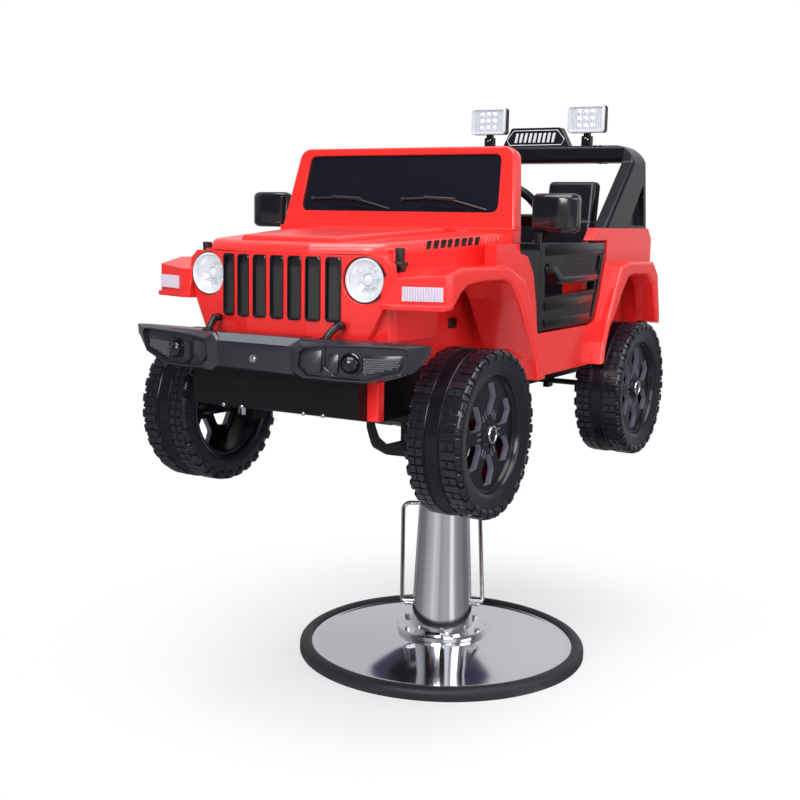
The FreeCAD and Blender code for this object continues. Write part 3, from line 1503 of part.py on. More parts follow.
roll_bar = cut("roll_bar", hoop_solid, tub)
sign = block("sign_board", "front", [
    ("-sign_half_width", "hoop_top"),
    ("sign_half_width", "hoop_top"),
    ("sign_top_half_width", "hoop_top + sign_height"),
    ("-sign_top_half_width", "hoop_top + sign_height"),
], "-spot_middle - sign_thickness / 2", "sign_thickness")
soften(sign, "spot_round", runs_along(1),
       lambda edge: edge.CenterOfMass.z > size("hoop_top + sign_height / 2"))
keep(roll_bar, sign)

# Spot lamps: forked posts on the beam, and tilting lamps with a clear front
pivot = "hoop_top + spot_pivot_rise"
post_sides = ("spot_half_track - spot_post_width / 2", "spot_half_track + spot_post_width / 2")
post_depths = ("spot_middle - spot_post_depth / 2", "spot_middle + spot_post_depth / 2")
foot = box("spot_foot", post_sides, post_depths, ("hoop_top", "hoop_top + spot_post_foot"))
ears = (
    box("spot_ear_inner", (post_sides[0], post_sides[0] + " + spot_ear"), post_depths,
        ("hoop_top", "hoop_top + spot_ear_rise")),
    box("spot_ear_outer", (post_sides[1] + " - spot_ear", post_sides[1]), post_depths,
        ("hoop_top", "hoop_top + spot_ear_rise")),
)
pivot_pin = rod("spot_pin", "spot_pin_radius", "spot_post_width",
                (post_sides[0], "spot_middle", pivot), x_axis)
keep(both_sides("spot_posts", fuse("spot_post", foot, pivot_pin, *ears)))
spot_face = rectangle(
    "spot_half_track - spot_width / 2", "spot_half_track + spot_width / 2",
    "spot_low", "spot_low + spot_height",
)
lamp_case = block("spot_case", "front", spot_face,
                  "-spot_middle - spot_depth / 2", "spot_depth - spot_lens_depth")
soften(lamp_case, "spot_round", runs_along(1))
soften(lamp_case, "spot_round * 0.8", lies_at(1, "spot_middle + spot_depth / 2"))
tongue = box("spot_tongue",
             (post_sides[0] + " + spot_ear + spot_gap", post_sides[1] + " - spot_ear - spot_gap"),
             ("spot_middle - spot_tongue_half_depth", "spot_middle + spot_tongue_half_depth"),
             (pivot + " - spot_tongue_drop", "spot_low + spot_round"))
tongue_bore = rod("spot_bore", "spot_pin_radius + axle_clearance", "spot_post_width",
                  (post_sides[0], "spot_middle", pivot), x_axis)
pair("spot_lamp_left", "spot_lamp_right",
     cut("spot_lamp_left", fuse("spot_solid", lamp_case, tongue), tongue_bore))
spot_lens = block("spot_lens_left", "front", spot_face,
                  "-spot_middle + spot_depth / 2 - spot_lens_depth", "spot_lens_depth")
soften(spot_lens, "spot_round", runs_along(1))
pair("spot_lens_left", "spot_lens_right", spot_lens)

# Rear bumper and tail lamps
rear_bumper = block("rear_bumper", "top", [
    ("-rear_bumper_half_width", "tail"),
    ("rear_bumper_half_width", "tail"),
    ("rear_bumper_half_width", "tail + rear_bumper_depth / 2"),
    ("rear_bumper_half_width - rear_bumper_depth", "tail + rear_bumper_depth"),
    ("-rear_bumper_half_width + rear_bumper_depth", "tail + rear_bumper_depth"),
    ("-rear_bumper_half_width", "tail + rear_bumper_depth / 2"),
], "deck + rear_bumper_low_rise", "rear_bumper_height")
soften(rear_bumper, "bumper_round", lies_at(2, "deck + rear_bumper_low_rise + rear_bumper_height"),
       lambda edge: edge.CenterOfMass.y > size("tail + overrun"))
tail_lamp = block("tail_lamp", "front", rectangle(
    "tail_lamp_half_track - tail_lamp_width / 2", "tail_lamp_half_track + tail_lamp_width / 2",
    "belt - tail_lamp_drop", "belt - tail_lamp_drop + tail_lamp_height",
), "-tail - tail_lamp_depth", "tail_lamp_depth")
soften(tail_lamp, "tail_lamp_round", lies_at(1, "tail + tail_lamp_depth"))
keep(rear_bumper, both_sides("tail_lamps", tail_lamp))

# Check every piece, then write one file for each node
document.recompute()
for item in document.Objects:
    if "Invalid" in item.State or "Error" in item.State:
        raise RuntimeError("%s is in state %s" % (item.Name, item.State))
labels = [item.Label for item in nodes]
if len(set(labels)) != len(labels):
    raise RuntimeError("two nodes share a label")
for item in nodes:
    shape = item.Shape
    if shape.isNull() or not shape.isValid() or shape.Volume <= 0:
        raise RuntimeError("%s has no sound shape" % item.Label)
    shape.exportStep("parts/%s.step" % item.Label)
print(len(nodes), "nodes written")
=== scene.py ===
import bmesh
import bpy
import math
from mathutils import Matrix, Vector


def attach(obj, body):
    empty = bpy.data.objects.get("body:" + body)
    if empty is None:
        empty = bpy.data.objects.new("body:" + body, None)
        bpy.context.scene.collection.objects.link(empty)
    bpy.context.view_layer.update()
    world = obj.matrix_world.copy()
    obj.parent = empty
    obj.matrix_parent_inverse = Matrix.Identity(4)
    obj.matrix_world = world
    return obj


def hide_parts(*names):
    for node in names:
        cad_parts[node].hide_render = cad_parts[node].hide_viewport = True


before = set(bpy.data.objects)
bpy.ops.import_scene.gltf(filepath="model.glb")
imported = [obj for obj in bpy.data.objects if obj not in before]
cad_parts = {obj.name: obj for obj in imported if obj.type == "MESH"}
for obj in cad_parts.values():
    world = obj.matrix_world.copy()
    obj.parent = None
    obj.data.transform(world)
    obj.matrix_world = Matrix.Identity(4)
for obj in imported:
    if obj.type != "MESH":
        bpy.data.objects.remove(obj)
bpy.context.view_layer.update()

# Camera: at the photograph's place, a little above the bonnet and in front of
# the car's left headlamp, turned 30 degrees round and looking slightly down.
camera_place = Vector((1.1618, -2.1786, 0.8995))
camera_turn = math.radians(30.32)
camera_dip = math.radians(8.50)
camera_roll = math.radians(1.03)
camera_lens = 54.28
camera_data = bpy.data.cameras.new("studio_camera")
camera_data.lens = camera_lens
camera_data.sensor_width = 36
camera_data.clip_start = 0.05
camera_data.clip_end = 60
camera = bpy.data.objects.new("studio_camera", camera_data)
bpy.context.scene.collection.objects.link(camera)
bpy.context.scene.camera = camera
ahead = Vector((-math.sin(camera_turn) * math.cos(camera_dip), math.cos(camera_turn) * math.cos(camera_dip),
                -math.sin(camera_dip)))
level = Vector((math.cos(camera_turn), math.sin(camera_turn), 0))
upward = level.cross(ahead)
right = math.cos(camera_roll) * level + math.sin(camera_roll) * upward
top = math.cos(camera_roll) * upward - math.sin(camera_roll) * level
camera.matrix_world = Matrix((
    (right.x, top.x, -ahead.x, camera_place.x),
    (right.y, top.y, -ahead.y, camera_place.y),
    (right.z, top.z, -ahead.z, camera_place.z),
    (0, 0, 0, 1),
))
bpy.context.scene.view_settings.view_transform = "Standard"


# Studio: a white floor and a white room for the eye. Polished metal sees a
# room of pale and dark cards instead, as in a studio where chrome is shot. One
# small dark card stands high behind the object, for the dish to catch.
def node_graph(material):
    """The material's nodes and links, emptied."""
    material.use_nodes = True
    material.node_tree.nodes.clear()
    return material.node_tree.nodes, material.node_tree.links


def card_ring(nodes, links, coordinate, cards):
    """Grey cards round the compass: a ramp over the angle from the car's right, given in degrees."""
    parts = nodes.new("ShaderNodeSeparateXYZ")
    links.new(coordinate, parts.inputs[0])
    angle = nodes.new("ShaderNodeMath")
    angle.operation = "ARCTAN2"
    links.new(parts.outputs["Y"], angle.inputs[0])
    links.new(parts.outputs["X"], angle.inputs[1])
    share = nodes.new("ShaderNodeMapRange")
    share.inputs["From Min"].default_value = -math.pi
    share.inputs["From Max"].default_value = math.pi
    links.new(angle.outputs[0], share.inputs["Value"])
    ramp = nodes.new("ShaderNodeValToRGB")
    ramp.color_ramp.interpolation = "EASE"
    while len(ramp.color_ramp.elements) < len(cards):
        ramp.color_ramp.elements.new(0.5)
    for element, (degrees, grey) in zip(ramp.color_ramp.elements, sorted(cards)):
        element.position = (degrees + 180) / 360
        element.color = (grey, grey, grey * 1.03, 1)
    links.new(share.outputs[0], ramp.inputs[0])
    return ramp.outputs["Color"]


room_cards = [
    (-180, 0.42), (-160, 0.34), (-134, 0.11), (-112, 0.11), (-98, 0.40), (-84, 0.46), (-72, 0.30), (-60, 0.26),
    (-52, 0.90), (-30, 0.90), (-20, 0.26), (0, 0.16), (30, 0.16), (52, 0.34), (76, 0.58), (100, 0.66), (122, 0.56),
    (142, 0.46), (165, 0.42), (180, 0.42),
]
world = bpy.data.worlds.new("pale_studio")
bpy.context.scene.world = world
nodes, links = node_graph(world)
world_out = nodes.new("ShaderNodeOutputWorld")
world_light = nodes.new("ShaderNodeBackground")
world_light.inputs["Color"].default_value = (0.93, 0.95, 1.0, 1)
world_light.inputs["Strength"].default_value = 0.34
world_cards = nodes.new("ShaderNodeBackground")
world_place = nodes.new("ShaderNodeTexCoord")
dark_card = nodes.new("ShaderNodeVectorMath")
dark_card.operation = "DOT_PRODUCT"
dark_card.inputs[1].default_value = (-0.397, 0.679, 0.616)
links.new(world_place.outputs["Generated"], dark_card.inputs[0])
dark_edge = nodes.new("ShaderNodeMapRange")
dark_edge.inputs["From Min"].default_value = 0.9894
dark_edge.inputs["From Max"].default_value = 0.9908
links.new(dark_card.outputs["Value"], dark_edge.inputs["Value"])
dark_mix = nodes.new("ShaderNodeMix")
dark_mix.data_type = "RGBA"
dark_mix.inputs["B"].default_value = (0.045, 0.038, 0.075, 1)
links.new(dark_edge.outputs["Result"], dark_mix.inputs["Factor"])
links.new(card_ring(nodes, links, world_place.outputs["Generated"], room_cards), dark_mix.inputs["A"])
links.new(dark_mix.outputs["Result"], world_cards.inputs["Color"])
world_view = nodes.new("ShaderNodeBackground")
world_view.inputs["Color"].default_value = (1, 1, 1, 1)
world_rays = nodes.new("ShaderNodeLightPath")
world_gloss = nodes.new("ShaderNodeMixShader")
links.new(world_rays.outputs["Is Glossy Ray"], world_gloss.inputs[0])
links.new(world_light.outputs[0], world_gloss.inputs[1])
links.new(world_cards.outputs[0], world_gloss.inputs[2])
world_seen = nodes.new("ShaderNodeMath")
world_seen.operation = "MAXIMUM"
links.new(world_rays.outputs["Is Camera Ray"], world_seen.inputs[0])
links.new(world_rays.outputs["Is Transmission Ray"], world_seen.inputs[1])
world_mix = nodes.new("ShaderNodeMixShader")
links.new(world_seen.outputs[0], world_mix.inputs[0])
links.new(world_gloss.outputs[0], world_mix.inputs[1])
links.new(world_view.outputs[0], world_mix.inputs[2])
links.new(world_mix.outputs[0], world_out.inputs["Surface"])

# Floor: matt white with a glow of its own for the eye, so that it meets the
# white room without a line and still takes the object's shadow close by.
floor_paint = bpy.data.materials.new("studio_floor")
nodes, links = node_graph(floor_paint)
floor_out = nodes.new("ShaderNodeOutputMaterial")
floor_matt = nodes.new("ShaderNodeBsdfDiffuse")
floor_matt.inputs["Color"].default_value = (0.90, 0.90, 0.905, 1)
floor_glow = nodes.new("ShaderNodeEmission")
floor_glow.inputs["Color"].default_value = (1, 1, 1, 1)
floor_place = nodes.new("ShaderNodeTexCoord")
floor_reach = nodes.new("ShaderNodeVectorMath")
floor_reach.operation = "LENGTH"
links.new(floor_place.outputs["Object"], floor_reach.inputs[0])
floor_share = nodes.new("ShaderNodeMapRange")
floor_share.interpolation_type = "SMOOTHSTEP"
floor_share.inputs["From Min"].default_value = 0.30
floor_share.inputs["From Max"].default_value = 0.95
floor_share.inputs["To Min"].default_value = 0.62
floor_share.inputs["To Max"].default_value = 1.0
links.new(floor_reach.outputs["Value"], floor_share.inputs["Value"])
floor_blend = nodes.new("ShaderNodeMixShader")
links.new(floor_share.outputs["Result"], floor_blend.inputs[0])
links.new(floor_matt.outputs[0], floor_blend.inputs[1])
links.new(floor_glow.outputs[0], floor_blend.inputs[2])
floor_cards = nodes.new("ShaderNodeEmission")
floor_ring = [(-180, 0.16), (-150, 0.20), (-128, 0.36), (-112, 0.46), (-96, 0.66), (-84, 0.56), (-70, 0.36),
              (-56, 0.42), (-38, 0.44), (-30, 0.92), (-22, 0.90), (-14, 0.40), (0, 0.26), (40, 0.16), (80, 0.30),
              (120, 0.44), (150, 0.30), (180, 0.16)]
links.new(card_ring(nodes, links, floor_place.outputs["Object"], floor_ring), floor_cards.inputs["Color"])
floor_rays = nodes.new("ShaderNodeLightPath")
floor_seen = nodes.new("ShaderNodeMixShader")
links.new(floor_rays.outputs["Is Camera Ray"], floor_seen.inputs[0])
links.new(floor_matt.outputs[0], floor_seen.inputs[1])
links.new(floor_blend.outputs[0], floor_seen.inputs[2])
floor_gloss = nodes.new("ShaderNodeMixShader")
links.new(floor_rays.outputs["Is Glossy Ray"], floor_gloss.inputs[0])
links.new(floor_seen.outputs[0], floor_gloss.inputs[1])
links.new(floor_cards.outputs[0], floor_gloss.inputs[2])
links.new(floor_gloss.outputs[0], floor_out.inputs["Surface"])
floor_mesh = bpy.data.meshes.new("studio_floor")
shape = bmesh.new()
bmesh.ops.create_grid(shape, x_segments=1, y_segments=1, size=30)
shape.to_mesh(floor_mesh)
shape.free()
floor = bpy.data.objects.new("studio_floor", floor_mesh)
floor_mesh.materials.append(floor_paint)
bpy.context.scene.collection.objects.link(floor)


# Lamps: three soft panels, overhead, at the car's left and near the camera.
def studio_lamp(name, place, aim, width, height, power, tint=(1, 1, 1)):
    """A soft rectangular panel that looks at a point."""
    data = bpy.data.lights.new(name, "AREA")
    data.shape = "RECTANGLE"
    data.size = width
    data.size_y = height
    data.energy = power
    data.color = tint
    lamp = bpy.data.objects.new(name, data)
    lamp.location = place
    lamp.rotation_euler = (Vector(aim) - Vector(place)).to_track_quat("-Z", "Y").to_euler()
    bpy.context.scene.collection.objects.link(lamp)
    return lamp


studio_lamp("overhead_panel", (0.3, -0.7, 3.0), (0, 0, 0.6), 2.4, 2.4, 78)
studio_lamp("side_panel", (2.9, 0.2, 1.6), (0, 0, 0.7), 1.6, 2.0, 24)
studio_lamp("front_panel", (0.9, -3.3, 2.1), (0, 0, 0.75), 1.4, 1.4, 66)


# Turned chrome of the pedestal: a flat conical dish with a rolled edge inside a
# black rubber ring, a bolted flange, and the plain conical cover of the pump.
def finish(name, colour, rough, metal=0.0, grain=900.0, depth=0.03, cloud=0.05, coat=0.0, soft_edge=0.0, shine=0.5):
    """A procedural finish: mottled colour, uneven gloss, fine grain and softened edges."""
    material = bpy.data.materials.new(name)
    nodes, links = node_graph(material)
    out = nodes.new("ShaderNodeOutputMaterial")
    surface = nodes.new("ShaderNodeBsdfPrincipled")
    surface.inputs["Metallic"].default_value = metal
    surface.inputs["Specular IOR Level"].default_value = shine
    surface.inputs["Coat Weight"].default_value = coat
    surface.inputs["Coat Roughness"].default_value = 0.06
    place = nodes.new("ShaderNodeTexCoord")
    patches = nodes.new("ShaderNodeTexNoise")
    patches.inputs["Scale"].default_value = 11.0
    patches.inputs["Detail"].default_value = 4.0
    links.new(place.outputs["Object"], patches.inputs["Vector"])
    tones = nodes.new("ShaderNodeMix")
    tones.data_type = "RGBA"
    tones.inputs["A"].default_value = tuple(c * (1 - cloud) for c in colour) + (1,)
    tones.inputs["B"].default_value = tuple(min(1, c * (1 + cloud)) for c in colour) + (1,)
    links.new(patches.outputs["Fac"], tones.inputs["Factor"])
    links.new(tones.outputs["Result"], surface.inputs["Base Color"])
    gloss = nodes.new("ShaderNodeMapRange")
    gloss.inputs["To Min"].default_value = max(0.02, rough - 0.04)
    gloss.inputs["To Max"].default_value = min(1, rough + 0.05)
    links.new(patches.outputs["Fac"], gloss.inputs["Value"])
    links.new(gloss.outputs["Result"], surface.inputs["Roughness"])
    specks = nodes.new("ShaderNodeTexNoise")
    specks.inputs["Scale"].default_value = grain
    specks.inputs["Detail"].default_value = 2.0
    links.new(place.outputs["Object"], specks.inputs["Vector"])
    bumps = nodes.new("ShaderNodeBump")
    bumps.inputs["Strength"].default_value = depth
    bumps.inputs["Distance"].default_value = 0.0004
    links.new(specks.outputs["Fac"], bumps.inputs["Height"])
    if soft_edge:
        edge = nodes.new("ShaderNodeBevel")
        edge.samples = 4
        edge.inputs["Radius"].default_value = soft_edge
        links.new(edge.outputs["Normal"], bumps.inputs["Normal"])
    links.new(bumps.outputs["Normal"], surface.inputs["Normal"])
    links.new(surface.outputs[0], out.inputs["Surface"])
    return material


def turned(profile, axis="z", steps=96, closed=True):
    """A piece turned on an axis from (radius, distance along it) points, in millimetres."""
    shape = bmesh.new()
    dots = [shape.verts.new((radius, 0, along)) for radius, along in profile]
    after = dots[1:] + dots[:1] if closed else dots[1:]
    lines = [shape.edges.new(pair) for pair in zip(dots, after)]
    bmesh.ops.spin(shape, geom=dots + lines, cent=(0, 0, 0), axis=(0, 0, 1), dvec=(0, 0, 0),
                   angle=2 * math.pi, steps=steps, use_merge=True, use_duplicate=False)
    bmesh.ops.remove_doubles(shape, verts=shape.verts, dist=0.002)
    if axis != "z":
        turn = {"x": Matrix.Rotation(math.pi / 2, 3, "Y"), "front": Matrix.Rotation(math.pi / 2, 3, "X")}[axis]
        bmesh.ops.rotate(shape, cent=(0, 0, 0), matrix=turn, verts=shape.verts)
    return shape


def hang(name, shape, material, body, replaced=(), crease=34):
    """Makes a piece of a shape drawn in millimetres, and hangs it on its body."""
    bmesh.ops.remove_doubles(shape, verts=shape.verts, dist=0.004)
    bmesh.ops.recalc_face_normals(shape, faces=shape.faces)
    bmesh.ops.scale(shape, vec=(0.001, 0.001, 0.001), verts=shape.verts)
    for face in shape.faces:
        face.smooth = True
    for edge in shape.edges:
        edge.smooth = len(edge.link_faces) == 2 and edge.calc_face_angle(0) < math.radians(crease)
    mesh = bpy.data.meshes.new(name)
    shape.to_mesh(mesh)
    shape.free()
    for paint in material if isinstance(material, list) else [material]:
        mesh.materials.append(paint)
    piece = bpy.data.objects.new(name, mesh)
    bpy.context.scene.collection.objects.link(piece)
    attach(piece, body)
    if replaced:
        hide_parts(*replaced)
    return piece


def dress(material, *names):
    """Gives CAD nodes a finish."""
    for name in names:
        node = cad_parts[name]
        node.data.materials.clear()
        node.data.materials.append(material)


chrome = finish("polished_chrome", (0.80, 0.81, 0.845), 0.07, metal=1.0, depth=0.0, cloud=0.015)
steel = finish("bright_steel", (0.62, 0.63, 0.66), 0.26, metal=1.0, depth=0.04)
ring_rubber = finish("ring_rubber", (0.020, 0.017, 0.023), 0.50, depth=0.10)
hang("dish_shell", turned([
    (276, 4), (276, 17), (274.5, 19), (271.5, 19.6), (268, 19.0), (264, 19.3), (226, 24.6), (188, 29.9), (150, 35.2),
    (112, 40.3), (106, 40.9), (40, 41), (40, 37), (104, 36.5), (262, 14), (272, 12), (272, 4),
], steps=160), chrome, "base", ["base_dish"])
hang("floor_ring", turned([
    (275.5, 0.2), (299, 0.2), (300, 2), (300, 14), (298.6, 18.5), (295.4, 22.2), (291, 24.6), (286, 25.6), (281, 25.2),
    (277.6, 23.6), (276.2, 21.5), (275.5, 20.5),
], steps=160), ring_rubber, "base", ["base_ring"])
hang("flange_disc", turned([
    (40, 41), (92.5, 41), (94, 42.5), (94, 50.6), (92.2, 52.6), (89, 53), (68, 53), (66, 54.2), (40, 54.2),
], steps=128), chrome, "base", ["pump_flange"])
dress(chrome, "column_cover", "lift_ram")
dress(steel, "ballast_plate", "flange_bolts", "pump_cylinder", "pump_gland", "pedal_bosses", "pump_pedal")


# Turning hub and cradle: welded steel in satin black under the car, with two
# bent flat arms that reach out fore and aft below the axles.
cradle_black = finish("cradle_paint", (0.0056, 0.0056, 0.0076), 0.26, grain=420, depth=0.05, shine=0.35)
dress(cradle_black, "swivel_hub", "cradle_box", "cradle_arms", "front_axle_beam", "rear_axle")
dress(steel, "knuckle_left", "knuckle_right")


# Tyres: hollow moulded rings. Round the outboard side a whole block follows a
# split one, a band of fine ribs runs round the middle, and the inboard side
# repeats the blocks. Lugs stand on both shoulders, and the sidewall is plain.
def soften(shape, edges, width, rounds=2):
    """Rounds edges of a shape, in millimetres."""
    if width:
        bmesh.ops.bevel(shape, geom=list(edges), offset=width, offset_type="OFFSET", segments=rounds,
                        profile=0.5, affect="EDGES", material=-1, clamp_overlap=True)
    return shape


def moved(shape, vector):
    """The same shape shifted by some millimetres."""
    bmesh.ops.translate(shape, vec=vector, verts=shape.verts)
    return shape


def joined(first, *others):
    """Several shapes as one."""
    for other in others:
        carrier = bpy.data.meshes.new("carrier")
        other.to_mesh(carrier)
        other.free()
        first.from_mesh(carrier)
        bpy.data.meshes.remove(carrier)
    return first


def brick(low, high, soft=0.0, rounds=1):
    """A moulded block between two corners, in millimetres."""
    shape = bmesh.new()
    bmesh.ops.create_cube(shape, size=1)
    low, high = Vector(low), Vector(high)
    bmesh.ops.scale(shape, vec=high - low, verts=shape.verts)
    bmesh.ops.translate(shape, vec=(low + high) / 2, verts=shape.verts)
    return soften(shape, shape.edges, soft, rounds)


def corners(near, far, low, high):
    """The outline of a rectangle."""
    return [(near, low), (far, low), (far, high), (near, high)]


def long_edges(shape, axis, least=1.0):
    """The edges that run further along an axis (0, 1 or 2) than some millimetres."""
    return [e for e in shape.edges if abs(e.verts[0].co[axis] - e.verts[1].co[axis]) > least]


def plate(outline, plane, low, high, soft=0.0, rounds=2):
    """An outline cut from sheet: drawn from the front (x, z), the side (y, z) or the top (x, y)."""
    shape = bmesh.new()
    corner = {"front": lambda a, b: (a, low, b), "side": lambda a, b: (low, a, b), "top": lambda a, b: (a, b, low)}
    along = {"front": (0, high - low, 0), "side": (high - low, 0, 0), "top": (0, 0, high - low)}
    face = shape.faces.new([shape.verts.new(corner[plane](a, b)) for a, b in outline])
    grown = bmesh.ops.extrude_face_region(shape, geom=[face])["geom"]
    bmesh.ops.translate(shape, vec=along[plane], verts=[v for v in grown if isinstance(v, bmesh.types.BMVert)])
    bmesh.ops.recalc_face_normals(shape, faces=shape.faces)
    return soften(shape, shape.edges, soft, rounds)


def around(shape, count, start=0.0):
    """Repeats a shape round the axle, which lies along x."""
    if start:
        bmesh.ops.rotate(shape, cent=(0, 0, 0), matrix=Matrix.Rotation(math.radians(start), 3, "X"), verts=shape.verts)
    if count > 1:
        bmesh.ops.spin(shape, geom=shape.verts[:] + shape.edges[:] + shape.faces[:], cent=(0, 0, 0), axis=(1, 0, 0),
                       dvec=(0, 0, 0), angle=2 * math.pi * (count - 1) / count, steps=count - 1, use_merge=False,
                       use_duplicate=True)
    return shape


tyre_black = finish("tyre_plastic", (0.0086, 0.0086, 0.0138), 0.22, grain=700, depth=0.05, cloud=0.10, shine=0.42)
block_pairs = 30
tyre_pitch = 360 / block_pairs
carcass = turned([
    (96, -44), (99, -46.5), (106, -48), (122, -48.5), (131, -47), (136.2, -43), (137.2, -14.5), (137.4, -12.2),
    (137.4, 10.4), (137.4, 12.9), (136.4, 41), (134, 45.5), (129, 47.4), (124, 47.6), (116, 46), (108, 44.6),
    (102, 43.8), (98.6, 41.6), (96.4, 37), (96, 33),
], axis="x", steps=120)
whole_block = joined(
    brick((17.5, -6.6, 131), (42.5, 6.6, 140.3), 1.0),
    brick((-42.5, -6.6, 131), (-29.2, 6.6, 140.0), 1.0),
    brick((-27.6, -6.6, 131), (-15.4, 6.6, 140.3), 1.0),
)
split_block = joined(
    brick((14.2, -6.4, 131), (26.3, 6.4, 140.2), 1.0),
    brick((27.9, -6.4, 131), (39.8, 6.4, 139.9), 1.0),
    brick((-41.5, -6.4, 131), (-30.2, 6.4, 139.8), 1.0),
    brick((-28.6, -6.4, 131), (-16.4, 6.4, 140.0), 1.0),
)
shoulder_lug = joined(
    plate([(41, 126), (41, 139.6), (45.6, 139.4), (49.6, 136.5), (50.9, 128.5), (48.0, 122.5), (43, 121)],
          "front", -7.4, 7.4, 1.2, 1),
    plate([(-41, 126), (-41, 139.6), (-45.6, 139.4), (-49.6, 136), (-50.9, 128), (-47.5, 122.5), (-43, 121)],
          "front", -7.4, 7.4, 1.2, 1),
)
small_lug = plate([(42, 127), (42, 137.2), (47.2, 136.4), (49.4, 131), (47, 125)], "front", -3.4, 3.4, 0.7, 1)
fine_rib = plate([(-11.4, 136), (-11.2, 138.9), (9.3, 138.9), (9.5, 136)], "front", -0.62, 0.62)
edge_line = turned([(134, -14.4), (139.9, -13.9), (140.2, -13.2), (139.9, -12.5), (136, -12.0)], axis="x", steps=120)
near_line = turned([(136, 10.3), (140.0, 10.8), (140.5, 11.7), (140.0, 12.6), (133, 13.0)], axis="x", steps=120)
tyre = joined(
    carcass, around(whole_block, block_pairs), around(split_block, block_pairs, tyre_pitch / 2),
    around(shoulder_lug, block_pairs, tyre_pitch / 4), around(small_lug, block_pairs, tyre_pitch * 3 / 4),
    around(fine_rib, 300), edge_line, near_line,
)
half_track, axle_up = 273, 554
wheels = {
    end + "_" + side: (half_track * place, along, axle_up, place)
    for end, along in (("front", -423), ("rear", 275)) for side, place in (("left", 1), ("right", -1))
}


def at_wheel(shape, across, along, up, side):
    """A copy of a wheel piece drawn at the origin, its outboard face to +x, carried to its axle end."""
    copy = shape.copy()
    if side < 0:
        bmesh.ops.rotate(copy, cent=(0, 0, 0), matrix=Matrix.Rotation(math.pi, 3, "Z"), verts=copy.verts)
    return moved(copy, (across, along, up))


for where, place in wheels.items():
    hang("tread_" + where, at_wheel(tyre, *place), tyre_black, "wheel_" + where, ["tyre_" + where], 30)
tyre.free()

# Rims: one dark moulding each, with six spokes between kinked windows. The
# window walls are a paler grey, a painted reflection of the light they catch; two short
# grooves mark each spoke by the hub in the same grey, and a small silver ring covers the axle's end.
rim_dark = finish("rim_plastic", (0.0062, 0.0062, 0.0098), 0.22, grain=600, depth=0.03, cloud=0.08, shine=0.35)
# Paler grey painted on the window walls as a painted reflection of light; the spoke grooves share it.
pale_grey_and_sheen = finish("rim_grey_and_painted_sheen", (0.17, 0.17, 0.23), 0.30, grain=500, depth=0.03)
ring_silver = finish("cap_ring_silver", (0.74, 0.74, 0.78), 0.20, metal=1.0, depth=0.02)
spoke_face = 31.5
window = [(-6.5, 33), (-20.5, 56), (-22.5, 63), (-12.5, 85), (12.5, 85), (22.5, 63), (20.5, 56), (6.5, 33)]
spokes = 6
half_sector = math.pi / spokes
outer_arc = [(91.5 * math.sin(a), 91.5 * math.cos(a)) for a in (half_sector * s / 3 for s in range(-3, 4))]
inner_arc = [(14 * math.sin(a), 14 * math.cos(a)) for a in (half_sector * s for s in (1, 0, -1))]
face = bmesh.new()
for loop in (outer_arc + inner_arc, window):
    dots = [face.verts.new((spoke_face, across, up)) for across, up in loop]
    for pair in zip(dots, dots[1:] + dots[:1]):
        face.edges.new(pair)
bmesh.ops.triangle_fill(face, edges=face.edges[:], use_beauty=True, use_dissolve=False)
around(face, spokes)
bmesh.ops.remove_doubles(face, verts=face.verts, dist=0.01)
grown = bmesh.ops.extrude_face_region(face, geom=face.faces[:], use_keep_orig=True)["geom"]
bmesh.ops.translate(face, vec=(-10.5, 0, 0), verts=[dot for dot in grown if isinstance(dot, bmesh.types.BMVert)])
# The window walls take the paler grey: a painted reflection, not a colour of their own.
for wall in face.faces:
    middle = wall.calc_center_median()
    reach = math.hypot(middle.y, middle.z)
    wall.normal_update()
    if abs(wall.normal.x) < 0.6 and 28 < reach < 89:
        wall.material_index = 1
rim_shape = joined(
    face,
    turned([(86, 30), (91, 31.5), (93.5, 36.5), (95.7, 37.2), (95.9, 30), (95.9, -38), (94.5, -39.8), (90, -39.8),
            (90, 13), (86, 14)], axis="x", steps=96),
    turned([(0, 39.6), (13, 39.6), (16.5, 38.6), (18.2, 35), (21.5, 32.2), (24, 30), (24, 6), (14, -38), (6.2, -38),
            (6.2, 30), (0, 30)], axis="x", steps=48, closed=False),
)
groove_sides = ((3.2, 4.1, 28.5, 41), (5.4, 6.3, 28.5, 41), (4.1, 5.4, 40.1, 41), (4.1, 5.4, 28.5, 29.4))
groove_set = joined(*[
    plate(corners(side * near, side * far, low, high), "side", spoke_face - 0.2, spoke_face + 0.5)
    for side in (-1, 1) for near, far, low, high in groove_sides
])
around(groove_set, spokes, 30)
cap_ring = turned([(11.2, 39.2), (11.6, 40.6), (13.2, 40.9), (14.6, 40.4), (15.1, 39.0)], axis="x", steps=48)
for where, place in wheels.items():
    body = "wheel_" + where
    hang("spokes_" + where, at_wheel(rim_shape, *place), [rim_dark, pale_grey_and_sheen], body, ["rim_" + where])
    hang("spoke_marks_" + where, at_wheel(groove_set, *place), pale_grey_and_sheen, body)
    hang("cap_ring_" + where, at_wheel(cap_ring, *place), ring_silver, body)
for shape in (rim_shape, groove_set, cap_ring):
    shape.free()


